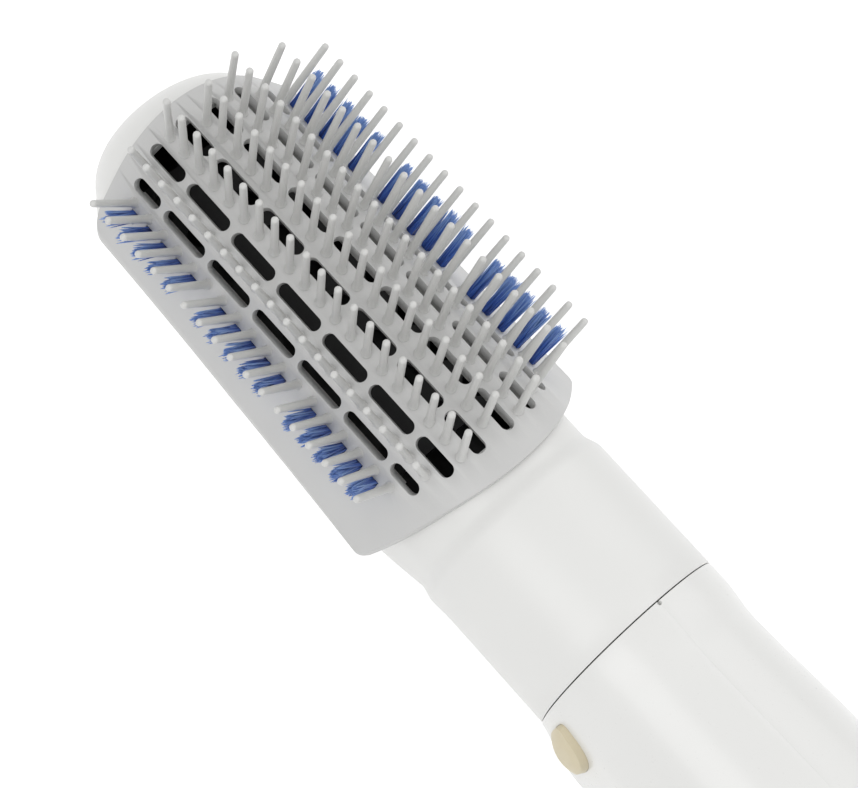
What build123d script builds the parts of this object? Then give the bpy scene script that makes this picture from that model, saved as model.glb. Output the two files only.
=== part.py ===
from build123d import *
from math import asin, cos, degrees, pi, radians, sin, sqrt
import os

# Hot air styler with a plug-on brush head, lying on its back with the pins up.
# Millimetres. The styler runs along X: the brush tip at -X, the cord inlet at +X.
# The origin is the middle of the face it rests on, and +Z is up.

# Overall lengths along X
head_length = 165.0         # tip of the brush head to the seam with the handle
handle_length = 152.0       # that seam to the back of the tail cap
seam_lean_deg = 3.2         # the seam starts there at the crest and leans back below it
swivel_reach = 5.0          # the cord inlet stands out of the tail cap by this

# Body sections: a round front and a flatter back
axis_height = 30.0          # air axis over the resting face, and the depth of the back
back_corner = 16.0          # corner radius of the head's flat back
grip_corner = 12.0          # and of the handle's
neck_radius = 24.7
tub_radius = 23.4           # the part of the head that the cover sits over
tail_radius = 22.4
wall = 2.0                  # shells
seat_gap = 0.3              # general gap between seated pieces
slide_gap = 0.1             # gap round pieces that slide
run_gap = 0.05              # radial gap of turning shafts
fit_gap = 0.05              # radial gap of pieces that only locate each other

# Brush head along X, measured from its tip
nose_length = 17.0          # the white dome
cover_tip = 14.5            # front edge of the cover, on the centre line
cover_tip_corner = 18.8     # front edge of the cover, at its sides
cover_end = 124.8           # end of the cover's tongue, on the centre line
cover_end_corner = 114.4    # end of the cover, at its sides
collar_end = 128.0          # step up from the collar to the full neck
cover_tip_width = 57.8
cover_mid = 79.0            # where the sides start to flare, and the width there
cover_mid_width = 61.0
cover_end_width = 64.6
cover_tip_corner_radius = 5.0
cover_end_corner_radius = 2.5
cover_radius = 26.0         # outer radius of the arched face
cover_wall = 2.0
cover_skirt_width = 65.2    # the skirt would be this wide at the height of the air axis
rib_count = 6               # ribs inside each skirt
rib_thickness = 1.2

# Pins
pin_pitch = 5.0
row_start = 21.0            # first pins of the longest rows, measured from the tip
row_step_deg = 18.2         # pitch of the pin rows round the arched face
row_leans = (0.0, 4.0, 18.0, 39.5)      # lean of the pins, middle row to edge rows
row_pins = (19, 20, 19, 18)             # pins in a row, middle row to edge rows
row_offsets = (0.75, 0.5, 0.0, 0.5, 0.0, 0.5, 0.95)     # first pin of each row, in pitches
pin_length = 17.9           # from the face to the tip
pin_root_radius = 0.95
pin_tip_radius = 0.7
pin_hole_gap = 0.1
bar_width = 2.4
bar_thickness = 2.0

# Air slots between the rows
slot_width = 3.3
slot_length = 13.2
slot_span = 3               # pins from one slot to the next
slot_full_count = 5
slot_first_web = 2.0        # in pitches, measured as the pins are
slot_end_lengths = (11.4, 10.6, 8.2)    # the slots at both ends of a line, middle line to outer

# Bristle tufts outside the pins of the edge rows
tuft_turn_deg = 6.5         # they stand this much further round than the pins
tuft_lead = 0.3             # and this far behind them along the row, in pitches
tuft_lean_deg = 42.0
tuft_groups = 3
tufts_in_group = 5
tuft_window_length = 2.2
tuft_window_width = 2.8
tuft_height = 10.5
strand_size = 0.3
strands_along = 3
strands_across = 4
strand_splay_deg = 4.0
backing_width = 3.8
backing_thickness = 1.4

# Baffle in the tub
baffle_thickness = 1.2
baffle_columns = 8          # columns of three holes
baffle_hole_radius = 3.4

# Handle
full_section_at = 16.0      # from the seam to where the back has its full depth
mouth_depth = 25.7          # depth and corner radius of the back at the seam
mouth_corner = 23.3
rim_length = 5.5            # the straight rim behind the seam
seam_notch_radius = 0.5     # where the shells' own seam starts
seam_notch_depth = 1.2
waist_at = 15.0             # from the seam to the middle of the waist
waist_radius = 23.8
swell_at = 48.0             # from the seam to the widest place
swell_radius = 25.2
front_turn_deg = 5.7        # the shells meet and the switch sits this far round from the middle
tail_taper_at = 88.0        # from the seam to where the taper to the tail starts
cap_length = 22.0           # tail cap
cap_roundness = 0.86         # share of its quarter ellipse that the cap runs through

# Release button on the left side, a leaf that leans towards the tail
button_at = 10.2            # from the seam to the middle of the button
button_drop = 3.4           # from the air axis down to it
button_length = 19.0
button_height = 8.6
button_lean_deg = 58.0
button_proud = 2.2
button_crown_radius = 6.0   # its outside is a barrel, this round across
button_crown_drop = 2.7     # and lower by this at both ends
button_travel = 1.5
button_lip = 1.2            # the lip that holds the button inside the shell
hook_width = 6.0
hook_bite = 1.0
hook_length = 4.0
hook_front = -12.0          # from the seam to the front of the hook
arm_thickness = 1.2
arm_clearance = 0.4         # between an arm and the spigot's ring, when pressed

# Spigot that the head plugs on to
spigot_length = 16.0        # inside the head
spigot_wall = 1.8
plug_gap = 0.25             # radial gap between the spigot and the head
duct_radius = 17.0
duct_wall = 0.8
duct_length = 24.0          # behind the spigot's flange
flange_thickness = 2.0
grille_thickness = 1.6
grille_rings = (0.66, 0.36)     # shares of the rim's radius

# Heater
sleeve_radius = 16.0
sleeve_wall = 0.6
heater_length = 50.0
heater_start = 10.0         # from the seam
mica_thickness = 0.6
winding_radius = 12.4
winding_wire = 0.9
winding_turns = 12

# Motor and fan
motor_radius = 12.0
motor_length = 26.0
motor_start = 88.0          # from the seam
shaft_radius = 1.0
fan_start = 116.5           # from the seam
fan_length = 7.5
fan_radius = 17.2
fan_blades = 7
fan_hub_radius = 5.0
fan_duct_radius = 19.2
fan_duct_wall = 0.8
mount_plate = 2.0           # the plate that seats the duct in the shells
guide_vanes = 9
vane_thickness = 1.0

# Switch on the front of the handle
switch_at = 72.0            # from the seam to the middle of the switch, when off
switch_travel = 6.0         # off to the hottest setting
knob_length = 16.0
knob_width = 9.0
knob_proud = 1.8
switch_slot_width = 5.0
switch_drop = 1.6           # top of the switch under the inside of the shell
switch_height = 7.0
tag_length = 2.0            # solder tags between the switch and the board
board_thickness = 1.6

# Air slots and plug of the tail cap
end_slots = 12
side_slots = 4
plug_length = 3.6

# Cord inlet at the tail
inlet_radius = 3.6          # bore for the cord
inlet_wall = 2.6
inlet_length = 14.0

# Screws across the handle
screw_radius = 1.25
screw_head_radius = 2.4
screw_places = (30.0, 78.0)  # from the seam
screw_depth = 23.0           # below the air axis
boss_radius = 3.0

tip_x = -(head_length + handle_length + swivel_reach) / 2
seam_x = tip_x + head_length
cap_end_x = seam_x + handle_length
cap_x = cap_end_x - cap_length
row_x = tip_x + row_start


def section(x, radius, depth, corner):
    """A face square to X: a half circle in front, a flat back with round corners."""
    plane = Plane(origin=(x, 0, axis_height), x_dir=(0, 1, 0), z_dir=(1, 0, 0))
    low = corner - depth
    mid = corner * (1 - cos(pi / 4))
    with BuildSketch(plane) as sketch:
        with BuildLine():
            ThreePointArc((-radius, 0), (0, radius), (radius, 0))
            Line((radius, 0), (radius, low))
            ThreePointArc((radius, low), (radius - mid, mid - depth), (radius - corner, -depth))
            Line((radius - corner, -depth), (corner - radius, -depth))
            ThreePointArc((corner - radius, -depth), (mid - radius, mid - depth), (-radius, low))
            Line((-radius, low), (-radius, 0))
        make_face()
    return sketch.sketch.face()


def skin(stations, inset=0.0, ruled=True):
    """A loft through stations of (x, radius, depth, corner), drawn in by inset."""
    return loft([section(x, r - inset, d - inset, c - inset) for x, r, d, c in stations], ruled=ruled)


def dome_stations(base, length, shares, radius, depth, corner):
    """Sections that shrink on a quarter ellipse from base, as the shares of length grow."""
    stations = []
    for share in shares:
        size = sqrt(1 - share * share)
        stations.append((base + length * share, radius * size, depth * size, corner * size))
    return stations


def prism(x0, x1, radius, depth, corner):
    return extrude(section(x0, radius, depth, corner), amount=x1 - x0, dir=(1, 0, 0))


def rod(x0, x1, radius, y=0.0, z=axis_height):
    """A cylinder along X."""
    turned = Rot(0, 90, 0) * Cylinder(radius, x1 - x0)
    return Pos((x0 + x1) / 2, y, z) * turned


def pipe(x0, x1, radius, thickness):
    return rod(x0, x1, radius) - rod(x0 - 1, x1 + 1, radius - thickness)


def block(x0, x1, y0, y1, z0, z1):
    return Pos((x0 + x1) / 2, (y0 + y1) / 2, (z0 + z1) / 2) * Box(x1 - x0, y1 - y0, z1 - z0)


def round_face(shape, angle):
    """Turns a shape from the top of the air axis towards +Y by angle degrees."""
    return Pos(0, 0, axis_height) * Rot(-angle, 0, 0) * Pos(0, 0, -axis_height) * shape


def merge(shapes):
    """One fuse of many shapes."""
    first, *rest = shapes
    return first.fuse(*rest)


# Rows of the arched face. A row is its angle round the face, the lean of its pins, and
# the X places of its pins.
def face_rows():
    rows = []
    for step in range(-3, 4):
        kind = abs(step)
        side = 1 if step > 0 else -1
        first = row_x + pin_pitch * row_offsets[step + 3]
        places = [first + pin_pitch * n for n in range(row_pins[kind])]
        rows.append((step * row_step_deg, side * row_leans[kind], places))
    return rows


def tuft_places(side):
    first = row_x + pin_pitch * (row_offsets[3 + 3 * side] + tuft_lead)
    return [first + pin_pitch * (group * (tufts_in_group + 1) + n)
            for group in range(tuft_groups) for n in range(tufts_in_group)]


def on_face(x, angle, lean):
    """The frame of a pin: its foot on the arched face, its Z along the pin."""
    foot = (x, cover_radius * sin(radians(angle)), axis_height + cover_radius * cos(radians(angle)))
    return Pos(*foot) * Rot(-lean, 0, 0)


# How far below the face a bar's top lies, and a level inside the bar, along the radius
bar_top = cover_wall + 0.5 * slide_gap
pin_root = bar_top + bar_thickness / 2
strand_root = bar_top + backing_thickness / 2


def pin_profile():
    """Half of a pin's outline, from its root inside the bar to its round tip."""
    with BuildSketch(Plane.XZ) as sketch:
        with BuildLine():
            Line((0, -pin_root), (pin_root_radius, -pin_root))
            Line((pin_root_radius, -pin_root), (pin_root_radius, 0))
            Line((pin_root_radius, 0), (pin_tip_radius, pin_length - pin_tip_radius))
            RadiusArc((pin_tip_radius, pin_length - pin_tip_radius), (0, pin_length), -pin_tip_radius)
            Line((0, pin_length), (0, -pin_root))
        make_face()
    return sketch.sketch.face()


def window_cutters(side):
    window = Box(tuft_window_length, tuft_window_width, 4 * cover_wall)
    return [tuft_frame(x, side) * window for x in tuft_places(side)]


def tuft_frame(x, side):
    return on_face(x, side * (3 * row_step_deg + tuft_turn_deg), side * tuft_lean_deg)


def pin_row(angle, lean, places):
    """A row of pins on the bar that holds them from behind the face."""
    low = axis_height + cover_radius - bar_top - bar_thickness
    bar = block(places[0] - bar_width / 2, places[-1] + bar_width / 2, -bar_width / 2, bar_width / 2,
                low, low + bar_thickness)
    bar = bar & rod(places[0] - bar_width, places[-1] + bar_width, cover_radius - bar_top)
    pin = revolve(pin_profile(), axis=Axis.Z, revolution_arc=360)
    return merge([round_face(bar, angle)] + [on_face(x, angle, lean) * pin for x in places])


def cover_section(radius, half_width):
    """Outline points of one skin of the cover: an arch that runs out into two skirts."""
    turn = asin(radius / half_width)
    foot = (radius * sin(turn), radius * cos(turn))
    return foot, (half_width, 0)


def brush_cover():
    """The arched face with its skirts, slots, pin holes and tuft windows."""
    skirt = cover_skirt_width / 2
    inner_radius = cover_radius - cover_wall
    inner_skirt = skirt * inner_radius / cover_radius
    foot, edge = cover_section(cover_radius, skirt)
    in_foot, in_edge = cover_section(inner_radius, inner_skirt)
    start = tip_x + cover_tip - 1
    plane = Plane(origin=(start, 0, axis_height), x_dir=(0, 1, 0), z_dir=(1, 0, 0))
    with BuildSketch(plane) as sketch:
        with BuildLine():
            Line((-edge[0], 0), (-foot[0], foot[1]))
            ThreePointArc((-foot[0], foot[1]), (0, cover_radius), foot)
            Line(foot, edge)
            Line(edge, in_edge)
            Line(in_edge, in_foot)
            ThreePointArc(in_foot, (0, inner_radius), (-in_foot[0], in_foot[1]))
            Line((-in_foot[0], in_foot[1]), (-in_edge[0], 0))
            Line((-in_edge[0], 0), (-edge[0], 0))
        make_face()
    arch = extrude(sketch.sketch.face(), amount=cover_end - cover_tip + 2, dir=(1, 0, 0))
    cover = arch & cover_plan()
    cutters = [cover_slot(x, length, angle) for x, length, angle in slot_places()]
    hole = Cylinder(pin_root_radius + pin_hole_gap, 6 * cover_wall)
    for angle, lean, places in face_rows():
        cutters += [on_face(x, angle, lean) * hole for x in places]
    cover = cover - cutters - window_cutters(-1) - window_cutters(1)
    return merge([cover] + cover_ribs(inner_skirt, inner_radius))


def cover_plan():
    """The cover's outline seen from above, as a tall prism."""
    tip, end = tip_x + cover_tip, tip_x + cover_end
    tip_corner = (tip_x + cover_tip_corner, cover_tip_width / 2)
    end_corner = (tip_x + cover_end_corner, cover_end_width / 2)
    middle = (tip_x + cover_mid, cover_mid_width / 2)
    with BuildSketch(Plane.XY) as sketch:
        with BuildLine():
            ThreePointArc((tip_corner[0], -tip_corner[1]), (tip, 0), tip_corner)
            ThreePointArc(tip_corner, middle, end_corner)
            ThreePointArc(end_corner, (end, 0), (end_corner[0], -end_corner[1]))
            ThreePointArc((end_corner[0], -end_corner[1]), (middle[0], -middle[1]),
                          (tip_corner[0], -tip_corner[1]))
        make_face()
        corners = sketch.vertices().sort_by(Axis.X)
        fillet(corners[:2], radius=cover_tip_corner_radius)
        corners = sketch.vertices().sort_by(Axis.X)
        fillet(corners[-2:], radius=cover_end_corner_radius)
    return extrude(sketch.sketch.face(), amount=2 * axis_height + cover_radius)


def cover_ribs(inner_skirt, inner_radius):
    """Ribs inside the skirts that stand off the tub's sides."""
    ribs = []
    first, last = tip_x + nose_length + 12, tip_x + cover_end_corner - 12
    for n in range(rib_count):
        x = first + (last - first) * n / (rib_count - 1)
        for side in (-1, 1):
            near, far = side * (tub_radius + seat_gap), side * inner_skirt
            web = block(x - rib_thickness / 2, x + rib_thickness / 2, min(near, far), max(near, far),
                        axis_height + 3.4, axis_height + 10)
            ribs.append(web & cover_inside(x, inner_skirt, inner_radius))
    return ribs


def cover_inside(x, inner_skirt, inner_radius):
    """The space under the cover near x, grown a little into its wall."""
    grow = cover_wall / 4
    foot, edge = cover_section(inner_radius + grow, inner_skirt + grow)
    plane = Plane(origin=(x - 1, 0, axis_height), x_dir=(0, 1, 0), z_dir=(1, 0, 0))
    with BuildSketch(plane) as sketch:
        with BuildLine():
            Polyline((-edge[0], 0), (-foot[0], foot[1]), foot, edge, close=True)
        make_face()
    return extrude(sketch.sketch.face(), amount=2, dir=(1, 0, 0))


def slot_places():
    """X place, length and angle of each air slot."""
    slots = []
    web = slot_span * pin_pitch - slot_length
    first_web = row_x + pin_pitch * slot_first_web
    for step in range(-3, 3):
        angle = (step + 0.5) * row_step_deg
        for n in range(slot_full_count):
            slots.append((first_web + pin_pitch * slot_span * (n + 0.5), slot_length, angle))
        end_length = slot_end_lengths[int(abs(step + 0.5))]
        lead = (web + end_length) / 2
        slots.append((first_web - lead, end_length, angle))
        last_web = first_web + pin_pitch * slot_span * slot_full_count
        slots.append((last_web + lead, end_length, angle))
    return slots


def cover_slot(x, length, angle):
    radius = slot_width / 2
    reach = length / 2 - radius
    tall = 3 * cover_wall
    slot = merge([Box(2 * reach, slot_width, tall), Pos(-reach, 0, 0) * Cylinder(radius, tall),
                  Pos(reach, 0, 0) * Cylinder(radius, tall)])
    return round_face(Pos(x, 0, axis_height + cover_radius) * slot, angle)


def bristle_strip(side):
    """Tufts of square strands on a backing strip that lies beside the edge row's bar."""
    places = tuft_places(side)
    skirt_deg = degrees(asin(2 * cover_radius / cover_skirt_width))
    off_skirt = 3 * row_step_deg + tuft_turn_deg - skirt_deg
    middle = side * (cover_radius * sin(radians(off_skirt))
                     + strand_root * sin(radians(skirt_deg - tuft_lean_deg)))
    top = axis_height + cover_radius - bar_top
    margin = tuft_window_length
    backing = block(places[0] - margin, places[-1] + margin, middle - backing_width / 2,
                    middle + backing_width / 2, top - backing_thickness, top)
    length = tuft_height + strand_root
    strand = Pos(0, 0, length / 2) * Box(strand_size, strand_size, length)
    step_along = (tuft_window_length - 2 * strand_size) / strands_along
    step_across = (tuft_window_width - 2 * strand_size) / strands_across
    tuft = []
    for i in range(strands_along):
        for j in range(strands_across):
            along = i - (strands_along - 1) / 2
            across = j - (strands_across - 1) / 2
            splay = Rot(-strand_splay_deg * across / 2, strand_splay_deg * along / 2, 0)
            tuft.append(Pos(along * step_along, across * step_across, -strand_root) * splay * strand)
    strands = [tuft_frame(x, side) * piece for x in places for piece in tuft]
    return merge([round_face(backing, side * skirt_deg)] + strands)


# The white body of the brush head: dome, tub under the cover, and neck
nose_shares = (0.0, 0.3, 0.56, 0.78, 0.92, 0.985)


def nose_stations():
    """Sections of the dome, from the tub towards the tip."""
    return dome_stations(tub_start, -nose_length / nose_shares[-1], nose_shares, tub_radius,
                         axis_height, back_corner)


tub_start = tip_x + nose_length
tub_end = tip_x + cover_end_corner - 6
collar_x = tip_x + collar_end
mouth_level = axis_height + 8.5
row_length = pin_pitch * (row_pins[1] - 1)


def neck_stations():
    low = tub_radius + 0.4
    return [(tub_end, tub_radius, axis_height, back_corner),
            ((tub_end + collar_x) / 2, tub_radius, (axis_height + low) / 2, back_corner + 3),
            (collar_x, tub_radius, low, tub_radius - 1)]


def brush_body():
    nose = skin(nose_stations(), ruled=False)
    tub = prism(tub_start, tub_end, tub_radius, axis_height, back_corner)
    collar = skin(neck_stations())
    neck = rod(collar_x, seam_x + neck_radius, neck_radius) & before_seam()
    outside = merge([nose, tub, collar, neck])
    inner_nose = skin([(x + wall, r, d, c) for x, r, d, c in nose_stations()[:4]], wall, ruled=False)
    inner_tub = prism(tub_start + wall, tub_end, tub_radius - wall, axis_height - wall,
                      back_corner - wall)
    inner_collar = skin(neck_stations(), inset=wall)
    inner_neck = rod(collar_x - 1, seam_x + neck_radius, neck_radius - wall)
    inside = merge([inner_nose, inner_tub, inner_collar, inner_neck])
    mouth = block(row_x - bar_width / 2 - seat_gap, row_x + row_length + bar_width / 2 + seat_gap,
                  -tub_radius, tub_radius, mouth_level, axis_height + 2 * tub_radius)
    return outside - inside - mouth - keyway()


def before_seam(gap=0.0):
    """All that lies on the head's side of the leaning seam, or of a plane by gap behind it."""
    side = Pos(-head_length, 0, 0) * Box(2 * head_length, 4 * neck_radius, 8 * neck_radius)
    return Pos(seam_x + gap, 0, axis_height + neck_radius) * Rot(0, -seam_lean_deg, 0) * side


def keyway():
    """The groove inside the neck that the release hook holds in."""
    half = hook_width / 2 + seat_gap
    return block(seam_x - spigot_length, seam_x + spigot_length, -(spigot_radius() + hook_bite + 0.5),
                 1 - spigot_radius(), axis_height - half, axis_height + half)


def spigot_radius():
    return neck_radius - wall - plug_gap


def air_baffle():
    """A flat plate over the tub that spreads the air along the slots."""
    top = mouth_level - slide_gap
    low = top - baffle_thickness
    start = row_x
    length = row_length - 8
    # the tub's sides draw in above the air axis, so the plate fits them at its top
    half = sqrt((tub_radius - wall) ** 2 - (top - axis_height) ** 2) - slide_gap
    plate = block(start, start + length, -half, half, low, top)
    holes = []
    for n in range(baffle_columns):
        x = start + length * (n + 0.5) / baffle_columns
        for m in (-1, 0, 1):
            holes.append(Pos(x, m * 0.62 * half, low) * Cylinder(baffle_hole_radius, 4 * baffle_thickness))
    return plate - holes


# Spigot, grille and release button
def outlet_spigot():
    radius = spigot_radius()
    front = pipe(seam_x - spigot_length, flange_x, radius, spigot_wall)
    flange_radius = neck_radius - wall - slide_gap
    flange = pipe(flange_x, flange_x + flange_thickness, flange_radius,
                  flange_radius - duct_radius + duct_wall)
    duct = pipe(flange_x, flange_x + duct_length, duct_radius, duct_wall)
    return merge([front, flange, duct]) - arm_way(seam_x + hook_front - 1)


def arm_way(start):
    """The way that the release button's arm moves in, from start to behind the flange."""
    half = hook_width / 2 + 2 * slide_gap
    return block(start, flange_x + flange_thickness + 1, -2 * neck_radius,
                 button_travel + arm_clearance - hook_inner(), axis_height - half, axis_height + half)


flange_x = seam_x + 0.4


def hook_inner():
    """Inner face of a hook and its arm, from the air axis."""
    return spigot_radius() - spigot_wall - arm_clearance - arm_thickness


def outlet_grille():
    """The finger guard in the spigot: rings on spokes."""
    x = seam_x - spigot_length + 1
    thick = grille_thickness
    outer = spigot_radius() - spigot_wall - fit_gap
    rim = pipe(x, x + thick, outer, 1.4)
    rings = [pipe(x, x + thick, outer * share, 1.0) for share in grille_rings]
    spokes = []
    for turn in range(3):
        bar = block(x, x + thick, -outer + 0.7, outer - 0.7, axis_height - 0.6, axis_height + 0.6)
        spokes.append(round_face(bar, 60 * turn + 30))
    return merge([rim] + rings + spokes) - arm_way(x - 1)


def leaf(grow):
    """The button's outline as a bar along Y, at its place and bigger all round by grow."""
    half, rise = button_length / 2 + grow, button_height / 2 + grow
    with BuildSketch(Plane.XZ) as sketch:
        with BuildLine():
            ThreePointArc((-half, 0), (0, rise), (half, 0))
            ThreePointArc((half, 0), (0, -rise), (-half, 0))
        make_face()
        fillet(sketch.vertices(), radius=1.2)
    bar = extrude(sketch.sketch.face(), amount=2 * neck_radius)
    return Pos(seam_x + button_at, 0, axis_height - button_drop) * Rot(0, button_lean_deg, 0) * bar


def button_crown():
    """A barrel along the leaf whose outside rounds the button."""
    half = button_length / 2 + 1
    end = button_crown_radius - button_crown_drop
    with BuildSketch() as sketch:
        with BuildLine():
            ThreePointArc((-half, end), (0, button_crown_radius), (half, end))
            Polyline((half, end), (half, 0), (-half, 0), (-half, end))
        make_face()
    barrel = Rot(0, button_lean_deg, 0) * revolve(sketch.sketch.face(), Axis.X)
    out = neck_radius + button_proud - button_crown_radius
    turn = degrees(asin(button_drop / neck_radius))
    return Pos(seam_x + button_at, 0, axis_height) * Rot(turn, 0, 0) * Pos(0, -out, 0) * barrel


def release_button():
    """Pad, retaining lip, arm and hook of the release button."""
    pad = leaf(-slide_gap) & button_crown() & handle_skin(-button_proud)
    pad = pad - handle_skin(wall + seat_gap + button_lip)
    lip = leaf(1) & (handle_skin(wall + seat_gap) - handle_skin(wall + seat_gap + button_lip))
    half = hook_width / 2
    arm_y = hook_inner()
    arm = block(seam_x + hook_front, seam_x + button_at, -arm_y - arm_thickness, -arm_y,
                axis_height - half, axis_height + half)
    rise = block(seam_x + button_at - 4, seam_x + button_at, -neck_radius, -arm_y,
                 axis_height - half, axis_height + half)
    rise = rise & handle_skin(wall + seat_gap + button_lip / 2)
    hook = block(seam_x + hook_front, seam_x + hook_front + hook_length,
                 -(spigot_radius() + hook_bite), -arm_y, axis_height - half, axis_height + half)
    return merge([pad, lip, rise, arm, hook])


def button_spring():
    """The spring between the button and the duct, as a plain sleeve."""
    radius = 2.2
    x, z = seam_x + button_at + 2.3, axis_height - button_drop - 4.1
    start = duct_radius + slide_gap
    end = handle_radius(x + radius) - wall - seat_gap - button_lip - run_gap
    spring = Cylinder(radius, end - start) - Cylinder(radius - 0.5, end - start + 1)
    return Pos(x, -(start + end) / 2, z) * Rot(90, 0, 0) * spring


# Handle shells
def handle_stations():
    """Sections from the seam to the tail cap, closer together where the back swells."""
    places = [full_section_at * n / 8 for n in range(9)]
    places += [full_section_at + 8 * n for n in range(1, 15)]
    stations = []
    for place in [p for p in places if p < cap_x - seam_x - 1] + [cap_x - seam_x]:
        blend = smooth_step(place / full_section_at)
        stations.append((seam_x + place, handle_radius(seam_x + place),
                         mouth_depth + (axis_height - mouth_depth) * blend,
                         mouth_corner + (grip_corner - mouth_corner) * blend))
    return stations


def smooth_step(share):
    """Runs from 0 to 1 with a level start and end."""
    share = min(1, max(0, share))
    return share * share * (3 - 2 * share)


def handle_radius(x):
    """Half width of the handle: rim, waist, swell, and the taper to the tail."""
    place = x - seam_x
    drawn = smooth_step((place - rim_length) / (waist_at - rim_length)) * (waist_radius - neck_radius)
    swell = smooth_step((place - waist_at) / (swell_at - waist_at)) * (swell_radius - waist_radius)
    taper = smooth_step((place - tail_taper_at) / (cap_x - seam_x - tail_taper_at))
    return neck_radius + drawn + swell + taper * (tail_radius - swell_radius)


def handle_skin(inset=0.0, grow=0.0):
    stations = handle_stations()
    first, last = stations[0], stations[-1]
    if grow:
        stations = [(first[0] - grow, *first[1:])] + stations + [(last[0] + grow, *last[1:])]
    return skin(stations, inset)


def switch_slot():
    half = switch_slot_width / 2 + slide_gap
    reach = knob_length / 2 - 3
    slot = block(seam_x + switch_at - reach, seam_x + switch_at + switch_travel + reach,
                 -half, half, front_inner - 2 * wall, axis_height + 2 * swell_radius)
    return round_face(slot, front_turn_deg)


def handle_shell(side):
    """Half of the handle: +1 is the half at +Y, which takes the screw heads."""
    shell = handle_skin() - handle_skin(inset=wall, grow=2)
    for place in screw_places:
        boss = Rot(90, 0, 0) * Cylinder(boss_radius, 2 * neck_radius)
        boss = Pos(seam_x + place, 0, axis_height - screw_depth) * boss
        shell = merge([shell, boss & handle_skin(inset=wall / 2)])
    far = side * 2 * swell_radius
    half = block(seam_x - 1, cap_x + 1, min(0, far), max(0, far), -axis_height, 3 * axis_height)
    notch = Pos(seam_x + seam_notch_radius, 0, axis_height + neck_radius)
    notch = round_face(notch * Cylinder(seam_notch_radius, 2 * seam_notch_depth), front_turn_deg)
    shell = (shell & round_face(half, front_turn_deg)) - leaf(0) - switch_slot()
    shell = shell - before_seam(fit_gap) - notch
    for place in screw_places:
        shell = shell - screw_hole(seam_x + place)
    return shell


def screw_hole(x):
    z = axis_height - screw_depth
    shank = Rot(90, 0, 0) * Cylinder(screw_radius + fit_gap, 24)
    head = Rot(90, 0, 0) * Cylinder(screw_head_radius + slide_gap, 2 * neck_radius)
    return merge([Pos(x, 0, z) * shank, Pos(x, 10 + neck_radius, z) * head])


def handle_screws():
    screws = []
    for place in screw_places:
        x, z = seam_x + place, axis_height - screw_depth
        shank = Pos(x, 0, z) * Rot(90, 0, 0) * Cylinder(screw_radius, 20)
        head = Pos(x, 10 + 0.9, z) * Rot(90, 0, 0) * Cylinder(screw_head_radius, 1.8)
        slot = block(x - 0.35, x + 0.35, 10 + 1.0, 10 + 2.5, z - 2, z + 2)
        screws.append(merge([shank, head]) - slot)
    return Compound(children=screws)


# Heater
def heater_sleeve():
    start = flange_x + flange_thickness
    return pipe(start, seam_x + heater_start + heater_length + 4, sleeve_radius, sleeve_wall)


def mica_cross():
    """Two mica plates, slotted together, with wide ends that reach the sleeve."""
    x0 = seam_x + heater_start
    x1 = x0 + heater_length
    reach = sleeve_radius - sleeve_wall - slide_gap
    core = winding_radius - winding_wire / 2 - fit_gap
    half = mica_thickness / 2
    plates = []
    for a, b, r in ((x0, x1, core), (x0, x0 + 4, reach), (x1 - 4, x1, reach)):
        plates.append(block(a, b, -r, r, axis_height - half, axis_height + half))
        plates.append(block(a, b, -half, half, axis_height - r, axis_height + r))
    return merge(plates)


def heater_winding():
    """One wire wound round the mica cross, as quarter turns that climb evenly."""
    x0 = seam_x + heater_start + 6
    climb = (heater_length - 12) / winding_turns
    path = []
    for n in range(4 * winding_turns):
        path.append([winding_point(x0, climb, n + part) for part in (0, 0.5, 1)])
    edges = [ThreePointArc(*points) for points in path]
    wire = Wire(edges)
    start = wire.position_at(0)
    ring = Plane(origin=start, z_dir=wire.tangent_at(0)) * Circle(winding_wire / 2)
    return sweep(ring.face(), path=wire)


def winding_point(x0, climb, quarter):
    angle = quarter * pi / 2 + pi / 4
    return (x0 + climb * quarter / 4, winding_radius * sin(angle),
            axis_height + winding_radius * cos(angle))


def thermostat():
    """The bimetal cut-out on the rear end of the mica cross."""
    x = seam_x + heater_start + heater_length - 3.2
    low = axis_height + mica_thickness / 2 + fit_gap
    base = block(x, x + 7, 2, 10, low, low + 2.4)
    blade = block(x + 1, x + 6, 3, 9, low + 2.4, low + 3.0)
    rivet = Pos(x + 3.5, 6, low + 3.4) * Cylinder(1.2, 0.8)
    return merge([base, blade, rivet])


def thermal_fuse():
    x = seam_x + heater_start + heater_length - 3.6
    z = axis_height + mica_thickness / 2 + 1.3 + fit_gap
    return merge([rod(x - 0.2, x + 8, 1.3, y=-6, z=z), rod(x - 2, x + 10, 0.4, y=-6, z=z)])


# Motor, fan and their mount
motor_x = seam_x + motor_start


def motor():
    can = rod(motor_x, motor_x + motor_length, motor_radius)
    nose_boss = rod(motor_x - 2, motor_x + motor_length + 1.5, 3.2)
    bore = rod(motor_x - 3, motor_x + motor_length + 3, shaft_radius + run_gap)
    terminals = [block(motor_x - 4, motor_x, y - 0.4, y + 0.4, axis_height - 1.5, axis_height + 1.5)
                 for y in (-8, 8)]
    return merge([can, nose_boss] + terminals) - bore


def motor_shaft():
    return rod(motor_x - 2.5, seam_x + fan_start + fan_length + 1, shaft_radius)


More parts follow.
